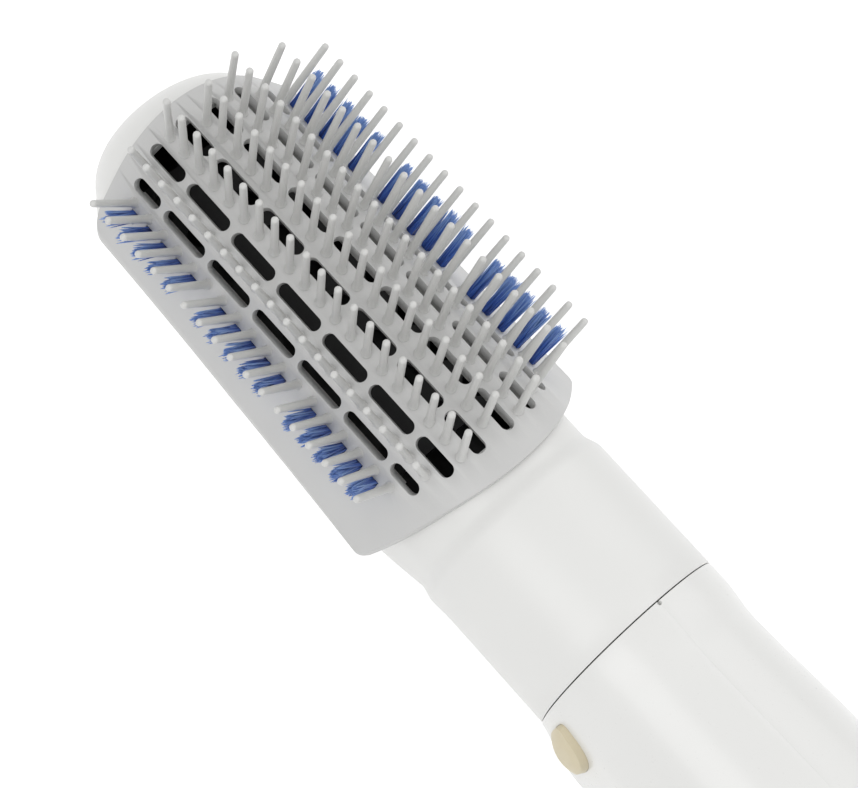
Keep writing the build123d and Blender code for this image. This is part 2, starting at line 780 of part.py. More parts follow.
def fan_impeller():
    x0 = seam_x + fan_start
    x1 = x0 + fan_length
    hub = rod(x0, x1, fan_hub_radius)
    blades = []
    for n in range(fan_blades):
        blade = Pos((x0 + x1) / 2, 0, axis_height + (fan_hub_radius + fan_radius) / 2 - 0.5) \
            * Rot(0, 0, 32) * Box(fan_length + 1, 1.1, fan_radius - fan_hub_radius + 1)
        blades.append(round_face(blade, 360 * n / fan_blades))
    swept = rod(x0, x1, fan_radius)
    return (merge([hub] + blades) & swept) - rod(x0 - 1, x1 + 1, shaft_radius)


def motor_mount():
    """Fan duct with the guide vanes and the ring that holds the motor."""
    x0 = motor_x + 2
    x1 = seam_x + fan_start + fan_length + 1
    duct = pipe(x0, x1, fan_duct_radius + fan_duct_wall, fan_duct_wall)
    ring = pipe(x0, x0 + 16, motor_radius + fit_gap + 1.4, 1.4)
    vanes = []
    for n in range(guide_vanes):
        middle = (motor_radius + 1 + fan_duct_radius) / 2 + 0.3
        vane = Pos(x0 + 8, 0, axis_height + middle) * Rot(0, 0, -12) \
            * Box(14, vane_thickness, fan_duct_radius - motor_radius - 0.6)
        vanes.append(round_face(vane, 360 * n / guide_vanes))
    plate = block(x1 - mount_plate, x1, -swell_radius, swell_radius, 0, 2 * axis_height)
    plate = plate & handle_skin(inset=wall + fit_gap)
    notch = block(x0, x1 + 1, -8, 8, 0, wall + 3.5)
    bore = rod(x0, x1 + 1, fan_duct_radius)
    return merge([duct, ring, plate - notch - bore] + vanes)


# Switch and circuit board
front_inner = axis_height + swell_radius - wall


def power_switch_knob():
    """The sliding knob: a ribbed cap outside, a stem through the slot, a lip inside."""
    x = seam_x + switch_at
    cap_low = axis_height + swell_radius + seat_gap / 2
    cap = block(x - knob_length / 2, x + knob_length / 2, -knob_width / 2, knob_width / 2,
                cap_low - 0.9, cap_low + knob_proud)
    cap = cap - rod(x - knob_length, x + knob_length, swell_radius + seat_gap / 2)
    grooves = [block(x + step * 2.4 - 0.5, x + step * 2.4 + 0.5, -knob_width, knob_width,
                     cap_low + knob_proud - 0.5, cap_low + knob_proud + 1) for step in (-2, -1, 0, 1, 2)]
    half = switch_slot_width / 2
    stem = block(x - 4.5, x + 4.5, -half, half, front_inner - 3.4, cap_low + 0.6)
    return round_face(merge([cap - grooves, stem]), front_turn_deg)


def switch_body():
    """The slide switch under the knob."""
    x = seam_x + switch_at + switch_travel / 2
    top = front_inner - switch_drop
    low = top - switch_height
    box = block(x - 9.5, x + 8.8, -6, 6, low, top)
    track = block(x - 8.2, x + 8.2, -switch_slot_width / 2 - slide_gap,
                  switch_slot_width / 2 + slide_gap, top - 2.2, top + 1)
    tags = [block(x + n * 5 - 0.4, x + n * 5 + 0.4, -2, 2, low - tag_length, low) for n in (-1, 0, 1)]
    return round_face(merge([box - track] + tags), front_turn_deg)


def board_level():
    return front_inner - switch_drop - switch_height - tag_length - board_thickness


def circuit_board():
    x = seam_x + switch_at + switch_travel / 2
    top = board_level() + board_thickness
    inner = handle_radius(x + 9) - wall
    half = sqrt(inner ** 2 - (top - axis_height) ** 2) - slide_gap
    return round_face(block(x - 10, x + 9, -half, half, board_level(), top), front_turn_deg)


def board_parts():
    """Rectifier diodes, a capacitor and a resistor under the board."""
    x = seam_x + switch_at + switch_travel / 2
    low = board_level()
    parts = [rod(x - 9 + n * 6, x - 5 + n * 6, 1.3, y=-11, z=low - 1.3) for n in range(3)]
    parts.append(block(x - 9, x + 1, 4, 12, low - 7, low))
    parts.append(rod(x + 2.5, x + 8, 1.6, y=8, z=low - 1.6))
    return Compound(children=[round_face(piece, front_turn_deg) for piece in parts])


# Tail
def tail_stations(inset=0.0):
    shares = [cap_roundness * share for share in (0.0, 0.35, 0.6, 0.8, 0.92, 1.0)]
    length = cap_length / cap_roundness - inset
    return dome_stations(cap_x, length, shares, tail_radius - inset, axis_height - inset,
                         grip_corner - inset)


def tail_cap():
    """The cap that closes the tail, with its air slots and the hole for the inlet."""
    outside = skin(tail_stations(), ruled=False)
    cavity = tail_stations(wall)
    inside = skin(cavity, ruled=False)
    opening = prism(cap_x - 1, cap_x + 0.01, *cavity[0][1:])
    depth = plug_length + 1
    plug = prism(cap_x - plug_length, cap_x + 1, tail_radius - wall - slide_gap,
                 axis_height - wall - slide_gap, grip_corner - wall - slide_gap)
    hole = prism(cap_x - depth, cap_x + 2, tail_radius - 2 * wall, axis_height - 2 * wall,
                 grip_corner - 2 * wall)
    root = prism(cap_x, cap_x + 1, tail_radius - wall / 2, axis_height - wall / 2,
                 grip_corner - wall / 2)
    cap = merge([outside - inside - opening, plug - hole, root - hole])
    cutters = [rod(cap_end_x - 4, cap_end_x + 1, inlet_radius + inlet_wall + run_gap)]
    for n in range(end_slots):
        slot = block(cap_end_x - 4, cap_end_x + 1, -0.7, 0.7, axis_height + 7.6, axis_height + 11)
        cutters.append(round_face(slot, 360 * (n + 0.5) / end_slots))
    for n in range(side_slots):
        x = cap_x + 4.5 + 3.0 * n
        cutters.append(block(x - 0.8, x + 0.8, -2 * tail_radius, 2 * tail_radius,
                             axis_height - 8, axis_height + 8))
    return cap - cutters


def intake_filter():
    """The fine screen that lies in the tail cap, as a thin holed plate."""
    x = cap_x - plug_length - 0.8 - slide_gap
    inset = wall + slide_gap
    plate = prism(x, x + 0.8, tail_radius - inset, axis_height - inset, grip_corner - inset)
    holes = [rod(x - 1, x + 2, 1.1, y=4 * i, z=axis_height + 4 * j)
             for i in range(-4, 5) for j in range(-4, 5)
             if 11.5 ** 2 < (4 * i) ** 2 + (4 * j) ** 2 < 17.5 ** 2]
    return plate - holes - rod(x - 1, x + 2, inlet_radius + inlet_wall + seat_gap)


def cord_inlet():
    """The turning sleeve that the cord goes through."""
    outer = inlet_radius + inlet_wall
    end = cap_end_x + swivel_reach
    sleeve = rod(end - inlet_length, end, outer)
    flange = rod(cap_end_x - wall - 2.4, cap_end_x - wall - 0.2, outer + 2)
    nose = chamfer(sleeve.faces().sort_by(Axis.X)[-1].edges(), length=0.8)
    groove = pipe(end - inlet_length + 1.2, end - inlet_length + 2.6, outer + 1, 1.9)
    return merge([nose, flange]) - groove - rod(end - 2 * inlet_length, end + 1, inlet_radius)


def inlet_ring():
    """The clip in the groove of the cord inlet that keeps it in the handle."""
    end = cap_end_x + swivel_reach
    outer = inlet_radius + inlet_wall
    x = end - inlet_length + 1.2 + fit_gap
    return pipe(x, x + 1.4 - 2 * fit_gap, outer + 3, 3 + 0.9 - fit_gap)


def supply_leads():
    """The two mains leads on the floor of the handle."""
    lead = 0.9
    z = wall + seat_gap / 2 + lead
    end = cap_x - plug_length - 2
    leads = [rod(seam_x + screw_places[-1] + boss_radius + 1, end, lead, y=y, z=z) for y in (-5, 5)]
    return Compound(children=leads)


def build():
    nodes = {"brush_cover": brush_cover(), "brush_body": brush_body(), "air_baffle": air_baffle()}
    for number, (angle, lean, places) in enumerate(face_rows(), start=1):
        nodes[f"pin_row_{number}"] = pin_row(angle, lean, places)
    for name, side in (("left", -1), ("right", 1)):
        nodes[f"bristle_strip_{name}"] = bristle_strip(side)
        nodes[f"handle_shell_{name}"] = handle_shell(side)
    makers = (release_button, button_spring, outlet_spigot, outlet_grille, heater_sleeve, mica_cross,
              heater_winding, thermostat, thermal_fuse, motor, motor_shaft, fan_impeller, motor_mount,
              power_switch_knob, switch_body, circuit_board, board_parts, tail_cap, intake_filter,
              cord_inlet, inlet_ring, supply_leads, handle_screws)
    for maker in makers:
        nodes[maker.__name__] = maker()
    return nodes


def winding_gap():
    """The least gap between neighbouring turns of the heater wire."""
    climb = (heater_length - 12) / winding_turns
    return climb - winding_wire


if __name__ == "__main__":
    os.makedirs("parts", exist_ok=True)
    for name, shape in build().items():
        export_step(shape, f"parts/{name}.step")
    print(f"gap between heater turns {winding_gap():.2f} mm")
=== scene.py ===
import math

import bmesh
import bpy
from mathutils import Matrix, Vector


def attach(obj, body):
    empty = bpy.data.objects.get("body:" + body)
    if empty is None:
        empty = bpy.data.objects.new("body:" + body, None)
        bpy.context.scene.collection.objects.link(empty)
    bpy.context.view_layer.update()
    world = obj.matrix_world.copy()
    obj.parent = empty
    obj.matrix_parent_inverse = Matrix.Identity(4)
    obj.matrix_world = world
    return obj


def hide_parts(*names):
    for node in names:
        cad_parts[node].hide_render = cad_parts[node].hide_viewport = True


# Hot air styler with a plug-on brush head. Metres. It lies on its back with the pins up (+Z),
# the brush tip at -X and the cord inlet at +X.
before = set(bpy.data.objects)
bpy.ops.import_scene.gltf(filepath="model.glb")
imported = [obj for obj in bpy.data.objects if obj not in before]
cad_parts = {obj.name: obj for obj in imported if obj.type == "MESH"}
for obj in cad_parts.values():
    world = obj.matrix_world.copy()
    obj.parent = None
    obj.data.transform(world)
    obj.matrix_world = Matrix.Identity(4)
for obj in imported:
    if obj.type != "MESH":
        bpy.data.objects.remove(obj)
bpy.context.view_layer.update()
scene = bpy.context.scene
mm = 0.001
print("frame loaded, nodes:", len(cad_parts))

# Places that several pieces share, in mm as in the part
place = {
    "tipX": -161.0,          # tip of the dome
    "axisZ": 30.0,           # height of the air axis
    "coverRadius": 26.0,     # outer radius of the arched face
    "wall": 2.0,             # of the moulded head
}


# Small tools: colour, nodes, meshes

def linear(hexText):
    channels = [int(hexText[i:i + 2], 16) / 255 for i in (1, 3, 5)]
    return [c / 12.92 if c <= 0.04045 else ((c + 0.055) / 1.055) ** 2.4
            for c in channels] + [1.0]


def addNode(tree, kind, settings=None, values=None, links=None):
    node = tree.nodes.new(kind)
    for key, value in (settings or {}).items():
        setattr(node, key, value)
    for key, value in (values or {}).items():
        node.inputs[key].default_value = value
    for key, source in (links or {}).items():
        tree.links.new(source, node.inputs[key])
    return node


def setRamp(node, stops):
    ramp = node.color_ramp
    while len(ramp.elements) < len(stops):
        ramp.elements.new(0.5)
    for element, (position, colour) in zip(ramp.elements, stops):
        element.position = position
        element.color = colour


def shaded(colour, factor):
    return [min(1.0, c * factor) for c in colour[:3]] + [1.0]


def newMaterial(name):
    material = bpy.data.materials.new(name)
    material.use_nodes = True
    material.node_tree.nodes.clear()
    return material, material.node_tree


def moulded(name, look):
    # Injection-moulded plastic: an even colour with hardly a cloud in it, and a fine grain that
    # only breaks up the reflections. A piece with an inside shade gets that painted shade where its
    # faces look inwards, for the shade inside its hollow.
    material, tree = newMaterial(name)
    colour = linear(look["colour"])
    coord = addNode(tree, "ShaderNodeTexCoord").outputs["Object"]
    cloud = addNode(tree, "ShaderNodeTexNoise", values={
        "Scale": 1 / (look["cloudMm"] * mm), "Detail": 2.0, "Roughness": 0.5},
        links={"Vector": coord})
    grain = addNode(tree, "ShaderNodeTexNoise", values={
        "Scale": 1 / (look["grainMm"] * mm), "Detail": 3.0, "Roughness": 0.6},
        links={"Vector": coord})
    tint = addNode(tree, "ShaderNodeValToRGB", links={"Fac": cloud.outputs["Fac"]})
    setRamp(tint, [(0.3, shaded(colour, 1 - look["shift"])),
                   (0.7, shaded(colour, 1 + look["shift"]))])
    gloss = addNode(tree, "ShaderNodeMapRange", values={
        "From Min": 0.3, "From Max": 0.7, "To Min": look["roughness"] - look["glossShift"],
        "To Max": look["roughness"] + look["glossShift"]}, links={"Value": grain.outputs["Fac"]})
    bump = addNode(tree, "ShaderNodeBump", values={
        "Strength": look["bump"], "Distance": look["bumpMm"] * mm},
        links={"Height": grain.outputs["Fac"]})
    shader = addNode(tree, "ShaderNodeBsdfPrincipled", values={"IOR": look["ior"]}, links={
        "Base Color": tint.outputs["Color"], "Roughness": gloss.outputs["Result"],
        "Normal": bump.outputs["Normal"]})
    # painted shade: faces that look inwards take a near-black colour, for the shade in the hollow
    if look.get("inside"):
        # a colour mix: 0 is its factor, 6 and 7 are its colours, and output 2 is the result
        inward = addNode(tree, "ShaderNodeAttribute", {"attribute_name": "inward"})
        sides = addNode(tree, "ShaderNodeMix", {"data_type": "RGBA"},
                        values={7: linear(look["inside"])},
                        links={0: inward.outputs["Fac"], 6: tint.outputs["Color"]})
        tree.links.new(sides.outputs[2], shader.inputs["Base Color"])
    if look.get("subsurface"):
        shader.inputs["Subsurface Weight"].default_value = look["subsurface"]
        shader.inputs["Subsurface Radius"].default_value = (0.8, 0.8, 0.8)
        shader.inputs["Subsurface Scale"].default_value = 0.5 * mm
    if look.get("coat"):
        shader.inputs["Coat Weight"].default_value = look["coat"]
        shader.inputs["Coat Roughness"].default_value = 0.12
    addNode(tree, "ShaderNodeOutputMaterial", links={"Surface": shader.outputs["BSDF"]})
    return material


metalMarks = {
    "dark": 0.86,            # shade of the colour in the marks
    "bright": 1.06,          # and between them
    "glossUnder": 0.07,      # how far the roughness goes under its mean
    "glossOver": 0.09,
    "bump": 0.25,
    "bumpMm": 0.05,
}


def metal(name, look):
    # Bare metal: its marks vary the shade and the gloss, and on plated steel they are drawn out
    # along the piece.
    material, tree = newMaterial(name)
    colour = linear(look["colour"])
    coord = addNode(tree, "ShaderNodeTexCoord").outputs["Object"]
    stretch = addNode(tree, "ShaderNodeMapping", values={"Scale": look["stretch"]},
                      links={"Vector": coord})
    marks = addNode(tree, "ShaderNodeTexNoise", values={
        "Scale": 1 / (look["markMm"] * mm), "Detail": 4.0, "Roughness": 0.65},
        links={"Vector": stretch.outputs["Vector"]})
    tint = addNode(tree, "ShaderNodeValToRGB", links={"Fac": marks.outputs["Fac"]})
    setRamp(tint, [(0.3, shaded(colour, metalMarks["dark"])),
                   (0.7, shaded(colour, metalMarks["bright"]))])
    gloss = addNode(tree, "ShaderNodeMapRange", values={
        "From Min": 0.25, "From Max": 0.75, "To Min": look["roughness"] - metalMarks["glossUnder"],
        "To Max": look["roughness"] + metalMarks["glossOver"]},
        links={"Value": marks.outputs["Fac"]})
    bump = addNode(tree, "ShaderNodeBump", values={
        "Strength": metalMarks["bump"], "Distance": metalMarks["bumpMm"] * mm},
        links={"Height": marks.outputs["Fac"]})
    shader = addNode(tree, "ShaderNodeBsdfPrincipled", values={"Metallic": 1.0}, links={
        "Base Color": tint.outputs["Color"], "Roughness": gloss.outputs["Result"],
        "Normal": bump.outputs["Normal"]})
    addNode(tree, "ShaderNodeOutputMaterial", links={"Surface": shader.outputs["BSDF"]})
    return material


def layered(name, look):
    # Pressed sheet, such as mica or paper laminate: flakes or fibres in two tones, under a thin
    # binder that is shinier than they are.
    material, tree = newMaterial(name)
    coord = addNode(tree, "ShaderNodeTexCoord").outputs["Object"]
    flakes = addNode(tree, "ShaderNodeTexVoronoi", values={"Scale": 1 / (look["flakeMm"] * mm)},
                     links={"Vector": coord})
    cloud = addNode(tree, "ShaderNodeTexNoise", values={"Scale": 1 / (look["cloudMm"] * mm)},
                    links={"Vector": coord})
    blend = addNode(tree, "ShaderNodeMath", {"operation": "MULTIPLY"}, links={
        0: flakes.outputs["Distance"], 1: cloud.outputs["Fac"]})
    tint = addNode(tree, "ShaderNodeValToRGB", links={"Fac": blend.outputs["Value"]})
    setRamp(tint, [(0.05, linear(look["dark"])), (0.45, linear(look["light"]))])
    bump = addNode(tree, "ShaderNodeBump", values={
        "Strength": look["bump"], "Distance": look["bumpMm"] * mm},
        links={"Height": flakes.outputs["Distance"]})
    shader = addNode(tree, "ShaderNodeBsdfPrincipled", values={
        "Roughness": look["roughness"], "IOR": look["ior"]},
        links={"Base Color": tint.outputs["Color"], "Normal": bump.outputs["Normal"]})
    addNode(tree, "ShaderNodeOutputMaterial", links={"Surface": shader.outputs["BSDF"]})
    return material


def nylonBristle(name, look):
    # Extruded nylon strand, dyed through blue. The foot is painted shade, deep blue, where the
    # strands crowd together, and the tips are painted light, lighter blue for the light they let
    # through.
    material, tree = newMaterial(name)
    along = addNode(tree, "ShaderNodeUVMap", {"uv_map": "strandUv"})
    height = addNode(tree, "ShaderNodeSeparateXYZ", links={"Vector": along.outputs["UV"]})
    tone = addNode(tree, "ShaderNodeAttribute", {"attribute_name": "strandTone"})
    lift = addNode(tree, "ShaderNodeMapRange", values={
        "To Min": -look["toneShift"], "To Max": look["toneShift"]},
        links={"Value": tone.outputs["Fac"]})
    mixed = addNode(tree, "ShaderNodeMath", {"operation": "ADD", "use_clamp": True}, links={
        0: height.outputs["Y"], 1: lift.outputs["Result"]})
    tint = addNode(tree, "ShaderNodeValToRGB", links={"Fac": mixed.outputs["Value"]})
    # painted shade at the foot, painted light towards the tips
    setRamp(tint, [(0.0, linear(look["foot"])), (0.45, linear(look["middle"])),
                   (1.0, linear(look["tip"]))])
    shader = addNode(tree, "ShaderNodeBsdfPrincipled", values={
        "Roughness": look["roughness"], "IOR": look["ior"], "Sheen Weight": look["sheen"]},
        links={"Base Color": tint.outputs["Color"]})
    addNode(tree, "ShaderNodeOutputMaterial", links={"Surface": shader.outputs["BSDF"]})
    return material


# Finishes. ABS and heat-resistant nylon have an IOR near 1.5.
coverGrey = moulded("moulded nylon, light grey", {
    "colour": "#CACAC9", "cloudMm": 14, "grainMm": 0.35, "shift": 0.015, "roughness": 0.42,
    "glossShift": 0.05, "bump": 0.12, "bumpMm": 0.03, "ior": 1.53})
pinGrey = moulded("moulded nylon pins, light grey", {
    "colour": "#D3D3D1", "cloudMm": 6, "grainMm": 0.3, "shift": 0.02, "roughness": 0.32,
    "glossShift": 0.05, "bump": 0.06, "bumpMm": 0.02, "ior": 1.53, "subsurface": 0.15})
shellWhite = moulded("polished ABS, white", {
    "colour": "#E9E9E7", "cloudMm": 30, "grainMm": 0.5, "shift": 0.006, "roughness": 0.3,
    "glossShift": 0.03, "bump": 0.05, "bumpMm": 0.02, "ior": 1.5, "subsurface": 0.08,
    "coat": 0.15})
# the near-black inside colour is a painted shade for the hollow under the cover
headWhite = moulded("satin ABS, white", {
    "colour": "#E8E8E6", "cloudMm": 24, "grainMm": 0.5, "shift": 0.006, "roughness": 0.36,
    "glossShift": 0.03, "bump": 0.06, "bumpMm": 0.02, "ior": 1.5, "subsurface": 0.08,
    "inside": "#161617"})
buttonBeige = moulded("moulded ABS, beige", {
    "colour": "#D6CBAE", "cloudMm": 8, "grainMm": 0.4, "shift": 0.015, "roughness": 0.4,
    "glossShift": 0.04, "bump": 0.1, "bumpMm": 0.03, "ior": 1.5})
innerBlack = moulded("glass-filled nylon, black", {
    "colour": "#121213", "cloudMm": 5, "grainMm": 0.25, "shift": 0.08, "roughness": 0.6,
    "glossShift": 0.08, "bump": 0.25, "bumpMm": 0.04, "ior": 1.53})
fanNatural = moulded("moulded ABS, natural", {
    "colour": "#D9D7CF", "cloudMm": 9, "grainMm": 0.4, "shift": 0.02, "roughness": 0.45,
    "glossShift": 0.05, "bump": 0.1, "bumpMm": 0.03, "ior": 1.5})
leadPvc = moulded("extruded PVC, black", {
    "colour": "#262628", "cloudMm": 3, "grainMm": 0.3, "shift": 0.06, "roughness": 0.5,
    "glossShift": 0.06, "bump": 0.2, "bumpMm": 0.03, "ior": 1.54})
# foot is a painted shade and tip a painted light, around the strands' own blue in the middle
bristleBlue = nylonBristle("extruded nylon bristle, blue", {
    "foot": "#17307A", "middle": "#2F60BE", "tip": "#93B6EC", "toneShift": 0.28,
    "roughness": 0.36, "ior": 1.53, "sheen": 0.2})
micaSheet = layered("mica sheet, pressed", {
    "dark": "#6E5E40", "light": "#B7A67F", "flakeMm": 1.4, "cloudMm": 8.4, "roughness": 0.4,
    "bump": 0.3, "bumpMm": 0.04, "ior": 1.55})
boardPaper = layered("paper laminate, pressed", {
    "dark": "#7A5428", "light": "#A87B42", "flakeMm": 0.6, "cloudMm": 3.6, "roughness": 0.5,
    "bump": 0.3, "bumpMm": 0.04, "ior": 1.55})
heaterWire = metal("nichrome wire, drawn", {
    "colour": "#8C867E", "stretch": (1, 1, 1), "markMm": 0.4, "roughness": 0.42})
springSteel = metal("spring steel, drawn", {
    "colour": "#B9BBBE", "stretch": (1, 1, 1), "markMm": 0.3, "roughness": 0.3})
zincSteel = metal("steel, zinc plated", {
    "colour": "#C2C4C6", "stretch": (0.2, 1, 1), "markMm": 0.5, "roughness": 0.34})
bareBrass = metal("brass, stamped", {
    "colour": "#C9A45A", "stretch": (1, 1, 1), "markMm": 0.5, "roughness": 0.32})

finishOf = {
    "brush_cover": coverGrey, "brush_body": headWhite, "air_baffle": innerBlack,
    "release_button": buttonBeige, "button_spring": springSteel,
    "handle_shell_left": shellWhite, "handle_shell_right": shellWhite,
    "outlet_spigot": innerBlack, "outlet_grille": innerBlack, "heater_sleeve": micaSheet,
    "mica_cross": micaSheet, "heater_winding": heaterWire, "thermostat": bareBrass,
    "thermal_fuse": zincSteel, "motor": zincSteel, "motor_shaft": springSteel,
    "fan_impeller": fanNatural, "motor_mount": innerBlack, "power_switch_knob": buttonBeige,
    "switch_body": innerBlack, "circuit_board": boardPaper, "board_parts": innerBlack,
    "tail_cap": shellWhite, "intake_filter": zincSteel, "cord_inlet": fanNatural,
    "inlet_ring": fanNatural, "supply_leads": leadPvc, "handle_screws": zincSteel,
    "bristle_strip_left": bristleBlue, "bristle_strip_right": bristleBlue,
}
for number in range(1, 8):
    finishOf[f"pin_row_{number}"] = pinGrey
for nodeName, finish in finishOf.items():
    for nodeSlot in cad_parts[nodeName].material_slots:
        nodeSlot.material = finish
print("finishes on the frame's nodes")


def newObject(name, data):
    thing = bpy.data.objects.new(name, data)
    scene.collection.objects.link(thing)
    return thing


def addPiece(name, mesh, body, finish, replaced, smoothDeg):
    mesh.materials.clear()
    mesh.materials.append(finish)
    mesh.shade_smooth()
    mesh.set_sharp_from_angle(angle=math.radians(smoothDeg))
    piece = newObject(name, mesh)
    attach(piece, body)
    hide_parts(*replaced)


def meshFrom(name, points, faces):
    mesh = bpy.data.meshes.new(name)
    mesh.from_pydata(points, [], faces)
    mesh.update()
    return mesh


def nodeCopy(node):
    # A CAD node's mesh is loose triangles, so the copy is merged before anything rounds its edges.
    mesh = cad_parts[node].data.copy()
    near = 0.002 * mm
    work = bmesh.new()
    work.from_mesh(mesh)
    bmesh.ops.remove_doubles(work, verts=work.verts, dist=near)
    bmesh.ops.dissolve_degenerate(work, edges=work.edges, dist=near)
    work.to_mesh(mesh)
    work.free()
    return mesh


def plainMesh(helper):
    # What a helper object's modifiers make, as a mesh of its own. The helper goes with them.
    graph = bpy.context.evaluated_depsgraph_get()
    mesh = bpy.data.meshes.new_from_object(helper.evaluated_get(graph), depsgraph=graph)
    bpy.data.objects.remove(helper)
    return mesh


def roundEdges(mesh, widthMm, angleDeg, segments):
    helper = newObject("helper", mesh)
    bevel = helper.modifiers.new("bevel", "BEVEL")
    bevel.width = widthMm * mm
    bevel.segments = segments
    bevel.limit_method = "ANGLE"
    bevel.angle_limit = math.radians(angleDeg)
    bevel.use_clamp_overlap = True
    bevel.miter_outer = "MITER_ARC"
    return plainMesh(helper)


# Geometry Nodes

def newTree(name, inputs):
    tree = bpy.data.node_groups.new(name, "GeometryNodeTree")
    tree.interface.new_socket("Geometry", in_out="OUTPUT", socket_type="NodeSocketGeometry")
    for label, kind in inputs.items():
        tree.interface.new_socket(label, in_out="INPUT", socket_type=kind)
    return tree, tree.nodes.new("NodeGroupInput").outputs


def finishTree(tree, geometry, material):
    real = addNode(tree, "GeometryNodeRealizeInstances", links={"Geometry": geometry})
    painted = addNode(tree, "GeometryNodeSetMaterial", links={
        "Geometry": real.outputs["Geometry"], "Material": material})
    addNode(tree, "NodeGroupOutput", links={"Geometry": painted.outputs["Geometry"]})


def grow(tree, values):
    # Runs a tree on an empty mesh and returns the plain result.
    helper = newObject("helper", bpy.data.meshes.new("helper"))
    modifier = helper.modifiers.new("grow", "NODES")
    modifier.node_group = tree
    for item in tree.interface.items_tree:
        if item.item_type == "SOCKET" and item.in_out == "INPUT":
            modifier[item.identifier] = values[item.name]
    return plainMesh(helper)


def latheMesh(name, profile, sides):
    # A closed turned shape round Z. profile is (radius, height) from foot to tip, in mm.
    points, faces = [], []
    for radius, height in profile[:-1]:
        for n in range(sides):
            turn = 2 * math.pi * n / sides
            points.append((radius * math.cos(turn) * mm, radius * math.sin(turn) * mm,
                           height * mm))
    points.append((0, 0, profile[-1][1] * mm))
    tip = len(points) - 1
    rings = len(profile) - 1
    for ring in range(rings - 1):
        for n in range(sides):
            a, b = ring * sides + n, ring * sides + (n + 1) % sides
            faces.append((a, b, b + sides, a + sides))
    last = (rings - 1) * sides
    faces += [(last + n, last + (n + 1) % sides, tip) for n in range(sides)]
    faces.append(tuple(range(sides - 1, -1, -1)))
    return meshFrom(name, points, faces)


# Pin rows

pinRows = {
    "middleRow": 4,                  # of seven
    "stepDeg": 18.2,                 # from one row to the next, round the face
    "leansDeg": (0.0, 4.0, 18.0, 39.5),  # from the middle row to the edge rows
    "counts": (19, 20, 19, 18),
    "offsets": (0.75, 0.5, 0.0, 0.5, 0.0, 0.5, 0.95),  # first pin of each row, in pitches
    "pitch": 5.0,
    "firstX": -140.0,
    "length": 17.65,
    "sunk": 3.0,                     # the pins start this far under the face
    "footRadius": 1.0,
    "tipRadius": 0.82,
    "sides": 12,
    "wobbleDeg": 0.25,               # moulded pins are never quite straight
    "seed": 11,
    "barTop": 2.55,                  # under the face
    "barThickness": 1.5,
    "barWidth": 2.4,
}


def pinProfile(look):
    # Radius and height from the sunk foot, over a small fillet on the face, to the round tip.
    foot, tip, length = look["footRadius"], look["tipRadius"], look["length"]
    shaft = [(foot, -look["sunk"]), (foot, -0.1)]
    fillet = [(foot + 0.28, 0.05), (foot + 0.1, 0.5), (foot - 0.05, 1.2)]
    end = [(tip + 0.02, length - 1.1), (tip, length - 0.65), (0.8 * tip, length - 0.28),
           (0.42 * tip, length - 0.06), (0, length)]
    return shaft + fillet + end


def pinRowTree():
    tree, given = newTree("pin row", {
        "Pin": "NodeSocketObject", "Count": "NodeSocketInt", "First Foot": "NodeSocketVector",
        "Pitch": "NodeSocketFloat", "Lean": "NodeSocketFloat", "Wobble": "NodeSocketFloat",
        "Bar Size": "NodeSocketVector", "Bar Centre": "NodeSocketVector",
        "Bar Turn": "NodeSocketFloat", "Seed": "NodeSocketInt", "Finish": "NodeSocketMaterial"})
    step = addNode(tree, "ShaderNodeCombineXYZ", links={"X": given["Pitch"]})
    line = addNode(tree, "GeometryNodeMeshLine", {"mode": "OFFSET"}, links={
        "Count": given["Count"], "Start Location": given["First Foot"],
        "Offset": step.outputs["Vector"]})
    back = addNode(tree, "ShaderNodeMath", {"operation": "MULTIPLY"}, values={1: -1.0},
                   links={0: given["Wobble"]})
    low = addNode(tree, "ShaderNodeCombineXYZ", links={
        "X": back.outputs[0], "Y": back.outputs[0]})
    high = addNode(tree, "ShaderNodeCombineXYZ", links={
        "X": given["Wobble"], "Y": given["Wobble"]})
    shake = addNode(tree, "FunctionNodeRandomValue", {"data_type": "FLOAT_VECTOR"}, links={
        "Min": low.outputs["Vector"], "Max": high.outputs["Vector"], "Seed": given["Seed"]})
    lean = addNode(tree, "ShaderNodeCombineXYZ", links={"X": given["Lean"]})
    turn = addNode(tree, "ShaderNodeVectorMath", {"operation": "ADD"}, links={
        0: lean.outputs["Vector"], 1: shake.outputs["Value"]})
    euler = addNode(tree, "FunctionNodeEulerToRotation", links={"Euler": turn.outputs["Vector"]})
    pin = addNode(tree, "GeometryNodeObjectInfo", links={"Object": given["Pin"]})
    pins = addNode(tree, "GeometryNodeInstanceOnPoints", links={
        "Points": line.outputs["Mesh"], "Instance": pin.outputs["Geometry"],
        "Rotation": euler.outputs["Rotation"]})
    bar = addNode(tree, "GeometryNodeMeshCube", links={"Size": given["Bar Size"]})
    barTurn = addNode(tree, "ShaderNodeCombineXYZ", links={"X": given["Bar Turn"]})
    placed = addNode(tree, "GeometryNodeTransform", links={
        "Geometry": bar.outputs["Mesh"], "Translation": given["Bar Centre"],
        "Rotation": barTurn.outputs["Vector"]})
    joined = addNode(tree, "GeometryNodeJoinGeometry",
                     links={"Geometry": pins.outputs["Instances"]})
    tree.links.new(placed.outputs["Geometry"], joined.inputs["Geometry"])
    finishTree(tree, joined.outputs["Geometry"], given["Finish"])
    return tree


def onArch(angleDeg, depth=0.0):
    # A point of the arched face at an angle from its crest, at a depth under it, in mm.
    radius = place["coverRadius"] - depth
    turn = math.radians(angleDeg)
    return radius * math.sin(turn), place["axisZ"] + radius * math.cos(turn)


